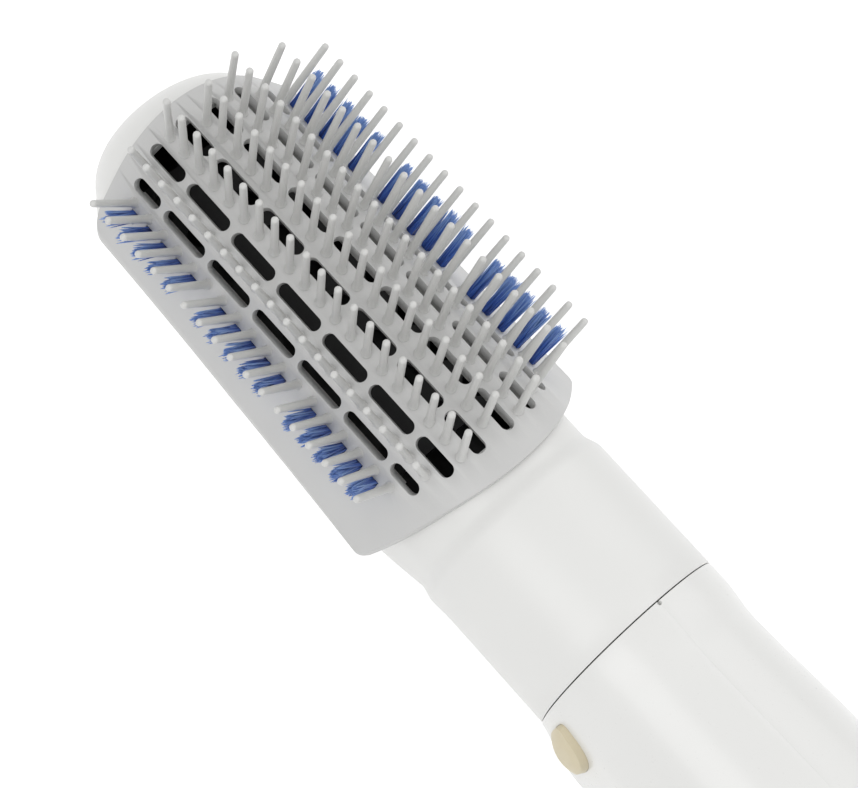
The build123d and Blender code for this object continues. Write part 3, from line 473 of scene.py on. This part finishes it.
pinMesh = latheMesh("pin source", pinProfile(pinRows), pinRows["sides"])
pinSource = newObject("pin source", pinMesh)
rowTree = pinRowTree()
for number, offset in enumerate(pinRows["offsets"], start=1):
    step = number - pinRows["middleRow"]
    fromMiddle = abs(step)
    side = 1 if step > 0 else -1
    angle = step * pinRows["stepDeg"]
    count = pinRows["counts"][fromMiddle]
    firstX = pinRows["firstX"] + pinRows["pitch"] * offset
    footY, footZ = onArch(angle)
    span = pinRows["pitch"] * (count - 1)
    barY, barZ = onArch(angle, pinRows["barTop"] + pinRows["barThickness"] / 2)
    mesh = grow(rowTree, {
        "Pin": pinSource, "Count": count,
        "First Foot": (firstX * mm, footY * mm, footZ * mm), "Pitch": pinRows["pitch"] * mm,
        "Lean": -side * math.radians(pinRows["leansDeg"][fromMiddle]),
        "Wobble": math.radians(pinRows["wobbleDeg"]),
        "Bar Size": ((span + pinRows["barWidth"]) * mm, pinRows["barWidth"] * mm,
                     pinRows["barThickness"] * mm),
        "Bar Centre": ((firstX + span / 2) * mm, barY * mm, barZ * mm),
        "Bar Turn": -math.radians(angle), "Seed": pinRows["seed"] + number,
        "Finish": pinGrey})
    addPiece(f"pinRow{number}", mesh, "brush_head", pinGrey,
             [f"pin_row_{number}"], smoothDeg=50)
bpy.data.objects.remove(pinSource)
print("pin rows")


# Bristle tufts

bristles = {
    "groups": 3,
    "inGroup": 5,
    "pitch": 5.0,
    "turnDeg": 61.1,           # from the crest of the face to the tufts
    "leanDeg": 42.0,
    "lead": 0.3,               # behind the pins of the row, in pitches
    "perTuft": 76,
    "windowLength": 1.95,      # of the field that a tuft's strands stand in
    "windowWidth": 2.4,
    "height": 11.0,
    "heightShares": (0.93, 1.03),  # of the shortest and the longest strand
    "strandRadius": 0.19,
    "bend": 0.35,              # of a strand's tip
    "taper": ((0.0, 1.0), (0.4, 1.0), (0.7, 0.92), (0.9, 0.66), (1.0, 0.22)),  # length, radius
    "splayDegPerMm": 2.4,
    "shakeDeg": 1.2,
    "seed": 40,
    "sunk": 2.7,               # the strands start this far under the face
    "skirtDeg": 52.9,          # the backing lies flat against the skirt, which leans so far
    "backingOut": 4.23,        # from there, along the skirt
    "backingUnder": 2.75,      # and under the face
    "backingSize": (84.4, 3.8, 1.3),
}


def strandMesh(look):
    # A four-sided strand that thins and bends a little to its tip, with its height as V of its
    # map.
    points, faces, heights = [], [], []
    rings = look["taper"]
    length = look["height"] + look["sunk"]
    for share, thick in rings:
        bend = look["bend"] * share * share
        for n in range(4):
            turn = math.pi / 2 * n
            radius = look["strandRadius"] * thick
            points.append(((bend + radius * math.cos(turn)) * mm, radius * math.sin(turn) * mm,
                           (share * length - look["sunk"]) * mm))
            heights.append(share)
    for ring in range(len(rings) - 1):
        for n in range(4):
            a, b = ring * 4 + n, ring * 4 + (n + 1) % 4
            faces.append((a, b, b + 4, a + 4))
    top = 4 * (len(rings) - 1)
    faces += [(top, top + 1, top + 2, top + 3), (3, 2, 1, 0)]
    mesh = meshFrom("strand source", points, faces)
    layer = mesh.uv_layers.new(name="strandUv")
    for loop in mesh.loops:
        layer.data[loop.index].uv = (0.5, heights[loop.vertex_index])
    return mesh


def tuftTree():
    tree, given = newTree("bristle tufts", {
        "Strand": "NodeSocketObject", "Tufts": "NodeSocketInt", "In Group": "NodeSocketInt",
        "Pitch": "NodeSocketFloat", "First Foot": "NodeSocketVector", "Lean": "NodeSocketFloat",
        "Per Tuft": "NodeSocketInt", "Half Length": "NodeSocketFloat",
        "Half Width": "NodeSocketFloat", "Splay": "NodeSocketFloat",
        "Shake": "NodeSocketFloat", "Shortest": "NodeSocketFloat",
        "Longest": "NodeSocketFloat", "Seed": "NodeSocketInt",
        "Backing Size": "NodeSocketVector", "Backing Centre": "NodeSocketVector",
        "Backing Turn": "NodeSocketFloat", "Finish": "NodeSocketMaterial"})
    line = addNode(tree, "GeometryNodeMeshLine", {"mode": "OFFSET"},
                   values={"Offset": (0, 0, 0)}, links={
                       "Count": given["Tufts"], "Start Location": given["First Foot"]})
    index = addNode(tree, "GeometryNodeInputIndex")
    group = addNode(tree, "ShaderNodeMath", {"operation": "DIVIDE"}, links={
        0: index.outputs["Index"], 1: given["In Group"]})
    whole = addNode(tree, "ShaderNodeMath", {"operation": "FLOOR"}, links={0: group.outputs[0]})
    pitches = addNode(tree, "ShaderNodeMath", {"operation": "ADD"}, links={
        0: index.outputs["Index"], 1: whole.outputs[0]})
    along = addNode(tree, "ShaderNodeMath", {"operation": "MULTIPLY"}, links={
        0: pitches.outputs[0], 1: given["Pitch"]})
    shift = addNode(tree, "ShaderNodeCombineXYZ", links={"X": along.outputs[0]})
    spread = addNode(tree, "GeometryNodeSetPosition", links={
        "Geometry": line.outputs["Mesh"], "Offset": shift.outputs["Vector"]})
    many = addNode(tree, "GeometryNodeDuplicateElements", {"domain": "POINT"}, links={
        "Geometry": spread.outputs["Geometry"], "Amount": given["Per Tuft"]})
    field = addNode(tree, "ShaderNodeCombineXYZ", links={
        "X": given["Half Length"], "Y": given["Half Width"]})
    mirrored = addNode(tree, "ShaderNodeVectorMath", {"operation": "SCALE"},
                       values={"Scale": -1.0}, links={0: field.outputs["Vector"]})
    spot = addNode(tree, "FunctionNodeRandomValue", {"data_type": "FLOAT_VECTOR"}, links={
        "Min": mirrored.outputs["Vector"], "Max": field.outputs["Vector"], "Seed": given["Seed"]})
    kept = addNode(tree, "GeometryNodeStoreNamedAttribute",
                   {"data_type": "FLOAT_VECTOR", "domain": "POINT"}, values={"Name": "spot"},
                   links={"Geometry": many.outputs["Geometry"], "Value": spot.outputs["Value"]})
    read = addNode(tree, "GeometryNodeInputNamedAttribute", {"data_type": "FLOAT_VECTOR"},
                   values={"Name": "spot"})
    leanVector = addNode(tree, "ShaderNodeCombineXYZ", links={"X": given["Lean"]})
    lean = addNode(tree, "FunctionNodeEulerToRotation",
                   links={"Euler": leanVector.outputs["Vector"]})
    turnedSpot = addNode(tree, "FunctionNodeRotateVector", links={
        "Vector": read.outputs["Attribute"], "Rotation": lean.outputs["Rotation"]})
    moved = addNode(tree, "GeometryNodeSetPosition", links={
        "Geometry": kept.outputs["Geometry"], "Offset": turnedSpot.outputs["Vector"]})
    parts = addNode(tree, "ShaderNodeSeparateXYZ", links={"Vector": read.outputs["Attribute"]})
    acrossTurn = addNode(tree, "ShaderNodeMath", {"operation": "MULTIPLY"}, links={
        0: parts.outputs["Y"], 1: given["Splay"]})
    acrossBack = addNode(tree, "ShaderNodeMath", {"operation": "MULTIPLY"}, values={1: -1.0},
                         links={0: acrossTurn.outputs[0]})
    alongTurn = addNode(tree, "ShaderNodeMath", {"operation": "MULTIPLY"}, links={
        0: parts.outputs["X"], 1: given["Splay"]})
    splay = addNode(tree, "ShaderNodeCombineXYZ", links={
        "X": acrossBack.outputs[0], "Y": alongTurn.outputs[0]})
    # each strand also turns freely round its own axis
    shakeHigh = addNode(tree, "ShaderNodeCombineXYZ", values={"Z": math.pi}, links={
        "X": given["Shake"], "Y": given["Shake"]})
    shakeLow = addNode(tree, "ShaderNodeVectorMath", {"operation": "SCALE"},
                       values={"Scale": -1.0}, links={0: shakeHigh.outputs["Vector"]})
    shake = addNode(tree, "FunctionNodeRandomValue", {"data_type": "FLOAT_VECTOR"}, links={
        "Min": shakeLow.outputs["Vector"], "Max": shakeHigh.outputs["Vector"],
        "Seed": given["Seed"]})
    delta = addNode(tree, "ShaderNodeVectorMath", {"operation": "ADD"}, links={
        0: splay.outputs["Vector"], 1: shake.outputs["Value"]})
    deltaTurn = addNode(tree, "FunctionNodeEulerToRotation",
                        links={"Euler": delta.outputs["Vector"]})
    turn = addNode(tree, "FunctionNodeRotateRotation", {"rotation_space": "LOCAL"}, links={
        "Rotation": lean.outputs["Rotation"], "Rotate By": deltaTurn.outputs["Rotation"]})
    # a random number: 2 and 3 are its lower and upper end, and output 1 is the result
    size = addNode(tree, "FunctionNodeRandomValue", {"data_type": "FLOAT"}, links={
        2: given["Shortest"], 3: given["Longest"], "Seed": given["Seed"]})
    strand = addNode(tree, "GeometryNodeObjectInfo", links={"Object": given["Strand"]})
    stand = addNode(tree, "GeometryNodeInstanceOnPoints", links={
        "Points": moved.outputs["Geometry"], "Instance": strand.outputs["Geometry"],
        "Rotation": turn.outputs["Rotation"], "Scale": size.outputs[1]})
    tone = addNode(tree, "FunctionNodeRandomValue", {"data_type": "FLOAT"},
                   links={"Seed": given["Seed"]})
    toned = addNode(tree, "GeometryNodeStoreNamedAttribute",
                    {"data_type": "FLOAT", "domain": "INSTANCE"}, values={"Name": "strandTone"},
                    links={"Geometry": stand.outputs["Instances"], "Value": tone.outputs[1]})
    backing = addNode(tree, "GeometryNodeMeshCube", links={"Size": given["Backing Size"]})
    backingTurn = addNode(tree, "ShaderNodeCombineXYZ", links={"X": given["Backing Turn"]})
    placed = addNode(tree, "GeometryNodeTransform", links={
        "Geometry": backing.outputs["Mesh"], "Translation": given["Backing Centre"],
        "Rotation": backingTurn.outputs["Vector"]})
    joined = addNode(tree, "GeometryNodeJoinGeometry",
                     links={"Geometry": toned.outputs["Geometry"]})
    tree.links.new(placed.outputs["Geometry"], joined.inputs["Geometry"])
    finishTree(tree, joined.outputs["Geometry"], given["Finish"])
    return tree


strandSource = newObject("strand source", strandMesh(bristles))
bristleTree = tuftTree()
for side, word in ((-1, "left"), (1, "right")):
    footY, footZ = onArch(side * bristles["turnDeg"])
    skirt = math.radians(bristles["skirtDeg"])
    backY, backZ = onArch(side * bristles["skirtDeg"], bristles["backingUnder"])
    backY += side * bristles["backingOut"] * math.cos(skirt)
    backZ -= bristles["backingOut"] * math.sin(skirt)
    tufts = bristles["groups"] * bristles["inGroup"]
    edgeRow = pinRows["offsets"][0 if side < 0 else -1]
    firstX = pinRows["firstX"] + pinRows["pitch"] * (edgeRow + bristles["lead"])
    middleX = firstX + bristles["pitch"] * (tufts + bristles["groups"] - 2) / 2
    mesh = grow(bristleTree, {
        "Strand": strandSource, "Tufts": tufts, "In Group": bristles["inGroup"],
        "Pitch": bristles["pitch"] * mm, "First Foot": (firstX * mm, footY * mm, footZ * mm),
        "Lean": -side * math.radians(bristles["leanDeg"]), "Per Tuft": bristles["perTuft"],
        "Half Length": bristles["windowLength"] / 2 * mm,
        "Half Width": bristles["windowWidth"] / 2 * mm,
        "Splay": math.radians(bristles["splayDegPerMm"]) / mm,
        "Shake": math.radians(bristles["shakeDeg"]), "Shortest": bristles["heightShares"][0],
        "Longest": bristles["heightShares"][1], "Seed": bristles["seed"] + side,
        "Backing Size": tuple(v * mm for v in bristles["backingSize"]),
        "Backing Centre": (middleX * mm, backY * mm, backZ * mm), "Backing Turn": -side * skirt,
        "Finish": bristleBlue})
    addPiece(f"bristleTufts_{word}", mesh, "brush_head", bristleBlue,
             [f"bristle_strip_{word}"], smoothDeg=60)
bpy.data.objects.remove(strandSource)
print("bristle tufts")


# Skins with a wall, from rows of outer and inner points

def sectionPoints(radius, depth, corner):
    # Round the D-shaped section from the middle of the back, over +Y and the front, to the back.
    flatSteps, cornerSteps, sideSteps, archSteps = 6, 10, 3, 20
    points = []
    for n in range(flatSteps):
        points.append(((radius - corner) * n / flatSteps, -depth))
    for n in range(cornerSteps):
        turn = math.pi / 2 * n / cornerSteps
        points.append((radius - corner + corner * math.sin(turn),
                       corner - depth - corner * math.cos(turn)))
    for n in range(sideSteps):
        points.append((radius, (corner - depth) * (1 - n / sideSteps)))
    for n in range(archSteps + 1):
        turn = math.pi / 2 * n / archSteps
        points.append((radius * math.cos(turn), radius * math.sin(turn)))
    return points + [(-y, z) for y, z in reversed(points[1:-1])]


def wallMesh(name, outer, inner, removed):
    # outer and inner are rows of points round the piece. Cells that removed() names are left
    # open, and every border between a kept cell and an open one gets its wall.
    rows, columns = len(outer), len(outer[0])
    points = [p for row in outer for p in row] + [p for row in inner for p in row]
    shift = rows * columns
    faces = []

    def at(i, j):
        return i * columns + j % columns

    def kept(i, j):
        return 0 <= i < rows - 1 and not removed(i, j % columns)

    for i in range(rows - 1):
        for j in range(columns):
            if not kept(i, j):
                continue
            a, b, c, d = at(i, j), at(i, j + 1), at(i + 1, j + 1), at(i + 1, j)
            faces.append((a, b, c, d))
            faces.append((d + shift, c + shift, b + shift, a + shift))
            if not kept(i - 1, j):
                faces.append((b, a, a + shift, b + shift))
            if not kept(i + 1, j):
                faces.append((d, c, c + shift, d + shift))
            if not kept(i, j - 1):
                faces.append((a, d, d + shift, a + shift))
            if not kept(i, j + 1):
                faces.append((c, b, b + shift, c + shift))
    mesh = meshFrom(name, points, faces)
    # inward marks the faces of the inner skin, where the head's finish paints its shade
    inward = mesh.attributes.new("inward", "FLOAT", "FACE")
    for number, corners in enumerate(faces):
        inward.data[number].value = float(min(corners) >= shift)
    work = bmesh.new()
    work.from_mesh(mesh)
    bmesh.ops.delete(work, geom=[v for v in work.verts if not v.link_faces], context="VERTS")
    bmesh.ops.remove_doubles(work, verts=work.verts, dist=0.03 * mm)  # closes the dome's tip
    work.to_mesh(mesh)
    work.free()
    return mesh


def smoothStep(share):
    share = max(0.0, min(1.0, share))
    return share * share * (3 - 2 * share)


# White body of the brush head

headBody = {
    "noseLength": 17.0,
    "nosePower": 1.88,        # 2 is an ellipse, and less is more pointed
    "noseDrop": 13.0,         # the dome's tip lies this far under the air axis
    "noseRings": 22,
    "radius": 23.4,
    "neckRadius": 24.7,
    "depth": 30.0,
    "neckDepth": 26.2,
    "corner": 16.0,
    "neckCorner": 23.9,
    "taperStart": 108.4,      # from the tip, where the back starts to rise to the neck
    "taperEnd": 138.0,
    "collarEnd": 126.4,
    "stepLength": 5.0,        # of the soft step up from the collar
    "neckRings": (135.0, 142.0, 150.0, 158.0),
    "length": 164.75,
    "rimLength": 0.25,        # of the small bevel at the neck's end
    "rimDrop": 0.2,
    "seamLeanDeg": 3.2,       # the neck's end leans back from its crest
    "leanStart": 140.0,
    "mouth": (19.5, 117.5),   # opening under the cover, from the tip
    "mouthLevel": 8.5,        # over the air axis
}
tiny = 0.01                   # keeps a size above nothing


def headStation(look, along):
    # Radius, depth and corner radius at a distance from the tip.
    share = max(0.0, 1 - along / look["noseLength"])
    shrink = (1 - share ** look["nosePower"]) ** (1 / look["nosePower"])
    rise = smoothStep((along - look["taperStart"]) / (look["taperEnd"] - look["taperStart"]))
    step = smoothStep((along - look["collarEnd"]) / look["stepLength"])
    radius = look["radius"] + (look["neckRadius"] - look["radius"]) * step
    depth = look["depth"] + (look["neckDepth"] - look["depth"]) * rise
    corner = look["corner"] + (look["neckCorner"] - look["corner"]) * rise
    return radius * shrink, depth * shrink, min(corner, radius - tiny) * shrink


def placedRing(look, along, ring, shrink):
    # A section's points at a distance from the tip. They sink towards the dome's tip, and lean
    # back more and more towards the seam.
    share = smoothStep((along - look["leanStart"]) / (look["length"] - look["leanStart"]))
    lean = share * math.tan(math.radians(look["seamLeanDeg"]))
    level = place["axisZ"] - look["noseDrop"] * (1 - shrink)
    return [((place["tipX"] + along + lean * (look["neckRadius"] - z)) * mm, y * mm,
             (z + level) * mm) for y, z in ring]


def headStations(look):
    # Distances of the rings from the tip: close together on the dome and on the collar's soft
    # step, and wide apart on the plain stretches.
    nose, (mouthStart, mouthEnd) = look["noseLength"], look["mouth"]
    stations = [nose * (1 - math.cos(math.pi / 2 * n / look["noseRings"]))
                for n in range(look["noseRings"])]
    stations[1] *= 0.5        # keeps the tip round
    lip, tubStep, taperStep, collarRings, stepRings = 0.6, 8.0, 2.0, 5, 6
    stations += [mouthStart - lip, mouthStart]
    stations += [mouthStart + tubStep * n for n in range(1, 11)]
    stations += [look["taperStart"] + taperStep * n for n in range(5)] + [mouthEnd]
    stations += [mouthEnd + (look["collarEnd"] - mouthEnd) * n / collarRings
                 for n in range(1, collarRings + 1)]
    stations += [look["collarEnd"] + look["stepLength"] * n / stepRings
                 for n in range(1, stepRings + 1)]
    return stations + [*look["neckRings"], look["length"] - look["rimLength"], look["length"]]


def headBodyMesh(look):
    stations = headStations(look)
    nose, (mouthStart, mouthEnd) = look["noseLength"], look["mouth"]
    wall, least = place["wall"], 0.3   # the inner skin never gets smaller than least
    outer, inner = [], []
    for along in stations:
        radius, depth, corner = headStation(look, along)
        shrink = min(1.0, radius / look["radius"])
        edge = look["rimDrop"] if along == look["length"] else 0.0
        ring = sectionPoints(radius - edge, depth - edge, max(corner - edge, tiny))
        outer.append(placedRing(look, along, ring, shrink))
        # the inner skin stays behind the dome's wall
        behind = wall + along * (nose - wall) / nose if along < nose else along
        ring = sectionPoints(max(radius - wall, least), max(depth - wall, least),
                             max(corner - wall, tiny))
        inner.append(placedRing(look, behind, ring, shrink))
    columns = len(outer[0])
    middle = outer[len(stations) // 2]
    level = (place["axisZ"] + look["mouthLevel"]) * mm
    high = [min(middle[j][2], middle[(j + 1) % columns][2]) > level for j in range(columns)]

    def removed(i, j):
        return high[j] and mouthStart - tiny <= stations[i] and stations[i + 1] <= mouthEnd + tiny

    return wallMesh("headBody", outer, inner, removed)


addPiece("headBody", headBodyMesh(headBody), "brush_head", headWhite,
         ["brush_body"], smoothDeg=40)
print("head body")


# Cover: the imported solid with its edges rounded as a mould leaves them. Its front edge bends
# down to the dome.
cover = {
    "edgeMm": 0.22,
    "angleDeg": 40,
    "skirtDeg": 52.9,        # where the arch runs out into the flat skirts
    "bendStart": -140.0,
    "bendLength": 6.0,
    "bendDrop": 1.3,         # of the outer face; the inner face stays
    "thickness": 2.0,
}


def coverMesh(look):
    mesh = roundEdges(nodeCopy("brush_cover"), look["edgeMm"], look["angleDeg"], segments=2)
    for vertex in mesh.vertices:
        bend = smoothStep((look["bendStart"] - vertex.co.x / mm) / look["bendLength"])
        if bend == 0:
            continue
        y, z = vertex.co.y / mm, vertex.co.z / mm - place["axisZ"]
        side = 1 if y > 0 else -1
        turn = min(math.atan2(abs(y), z), math.radians(look["skirtDeg"]))
        level = abs(y) * math.sin(turn) + z * math.cos(turn)
        share = max(0.0, 1 - (place["coverRadius"] - level) / look["thickness"])
        drop = look["bendDrop"] * bend * share * mm
        vertex.co.y -= side * drop * math.sin(turn)
        vertex.co.z -= drop * math.cos(turn)
    return mesh


addPiece("brushCover", coverMesh(cover), "brush_head", coverGrey,
         ["brush_cover"], smoothDeg=30)
print("brush cover")


# Outside pieces of the handle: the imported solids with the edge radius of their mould. The two
# rounded edges at a joint make its groove.
handlePieces = {
    # name: node, body, finish, slot, edge radius in mm, angle that counts as an edge
    "handleShell_left": ("handle_shell_left", "handle", shellWhite, "white_plastic", 0.18, 35),
    "handleShell_right": ("handle_shell_right", "handle", shellWhite, "white_plastic", 0.18, 35),
    "tailCap": ("tail_cap", "handle", shellWhite, "white_plastic", 0.25, 35),
    "releaseButton": ("release_button", "release_button", buttonBeige, "beige_plastic", 0.3, 40),
    "switchKnob": ("power_switch_knob", "power_switch", buttonBeige, "beige_plastic", 0.25, 40),
}
buttonLift = {
    "out": 1.2,              # the lower end of the button stands further out than the solid's
    "fromZ": 34.0,           # growing from here downwards
    "toZ": 24.0,
    "skin": 24.6,            # half width of the handle there
    "proud": 0.5,            # what stands out this far moves with it in full
}


def liftButton(mesh, look):
    for vertex in mesh.vertices:
        y, z = -vertex.co.y / mm, vertex.co.z / mm
        proud = y - math.sqrt(look["skin"] ** 2 - max(0.0, z - place["axisZ"]) ** 2)
        share = smoothStep((look["fromZ"] - z) / (look["fromZ"] - look["toZ"]))
        vertex.co.y -= look["out"] * share * min(1.0, max(0.0, proud / look["proud"])) * mm


for pieceName, (node, body, finish, slotName, widthMm, angleDeg) in handlePieces.items():
    mesh = roundEdges(nodeCopy(node), widthMm, angleDeg, segments=3)
    if node == "release_button":
        liftButton(mesh, buttonLift)
    addPiece(pieceName, mesh, body, finish, [node], smoothDeg=30)
print("handle")


# Camera, from a fit to the pins, slots, seams and outline in the photograph

cameraFit = {
    "place": (18.1, -138.5, 433.4),
    "right": (0.6621, 0.7387, 0.1263),
    "up": (-0.7249, 0.5885, 0.3580),
    "back": (0.1901, -0.3286, 0.9252),
    "lens": 81.74,
}
camera = newObject("camera", bpy.data.cameras.new("camera"))
camera.data.lens = cameraFit["lens"]
camera.data.sensor_width = 36.0
camera.data.sensor_fit = "HORIZONTAL"
camera.data.clip_start = 0.01
camera.data.clip_end = 20.0
camera.matrix_world = Matrix.Translation(Vector(cameraFit["place"]) * mm) @ Matrix(
    (cameraFit["right"], cameraFit["up"], cameraFit["back"])).transposed().to_4x4()
scene.camera = camera


# Floor, world and lamps

studio = {
    "floorHalf": 4.0,        # metres, each way
    "floorUnder": 0.0002,    # it lies this far under the object
    "floorColour": "#F2F2F2",
    "floorLift": 0.45,
    "ambient": 0.68,
    "lamps": (
        # place, size and strength (metres, watts); each looks at the middle of the face
        ((0.05, -0.60, 0.75), 0.60, 2.1),
        ((0.50, 0.35, 0.75), 0.50, 0.8),
        ((-0.15, 0.60, 0.50), 0.60, 0.8),
    ),
    "target": (-0.06, 0.0, 0.04),
}


def seenByCamera(tree):
    rays = addNode(tree, "ShaderNodeLightPath")
    first = addNode(tree, "ShaderNodeMath", {"operation": "MAXIMUM"}, links={
        0: rays.outputs["Is Camera Ray"], 1: rays.outputs["Is Glossy Ray"]})
    return addNode(tree, "ShaderNodeMath", {"operation": "MAXIMUM"}, links={
        0: first.outputs[0], 1: rays.outputs["Is Transmission Ray"]}).outputs[0]


def floorMaterial(look):
    material, tree = newMaterial("studio paper, matt white")
    lift = addNode(tree, "ShaderNodeMath", {"operation": "MULTIPLY"}, values={1: look["floorLift"]},
                   links={0: seenByCamera(tree)})
    shader = addNode(tree, "ShaderNodeBsdfPrincipled", values={
        "Base Color": linear(look["floorColour"]), "Roughness": 0.9,
        "Emission Color": (1, 1, 1, 1)},
        links={"Emission Strength": lift.outputs[0]})
    addNode(tree, "ShaderNodeOutputMaterial", links={"Surface": shader.outputs["BSDF"]})
    return material


corners = [(x * studio["floorHalf"], y * studio["floorHalf"], -studio["floorUnder"])
           for x, y in ((-1, -1), (1, -1), (1, 1), (-1, 1))]
floorMesh = meshFrom("floor", corners, [(0, 1, 2, 3)])
floorMesh.materials.append(floorMaterial(studio))
floor = newObject("floor", floorMesh)

world = bpy.data.worlds.new("studio")
scene.world = world
world.use_nodes = True
worldTree = world.node_tree
worldTree.nodes.clear()
strength = addNode(worldTree, "ShaderNodeMapRange", values={
    "To Min": studio["ambient"], "To Max": 1.0}, links={"Value": seenByCamera(worldTree)})
sky = addNode(worldTree, "ShaderNodeBackground", values={"Color": (1, 1, 1, 1)},
              links={"Strength": strength.outputs["Result"]})
addNode(worldTree, "ShaderNodeOutputWorld", links={"Surface": sky.outputs["Background"]})

for number, (where, size, watts) in enumerate(studio["lamps"], start=1):
    light = bpy.data.lights.new(f"softbox {number}", "AREA")
    light.shape = "SQUARE"
    light.size = size
    light.energy = watts
    lamp = newObject(f"softbox {number}", light)
    lamp.location = where
    aim = Vector(studio["target"]) - Vector(where)
    lamp.rotation_euler = aim.to_track_quat("-Z", "Y").to_euler()

scene.view_settings.view_transform = "Standard"
print("camera and studio")
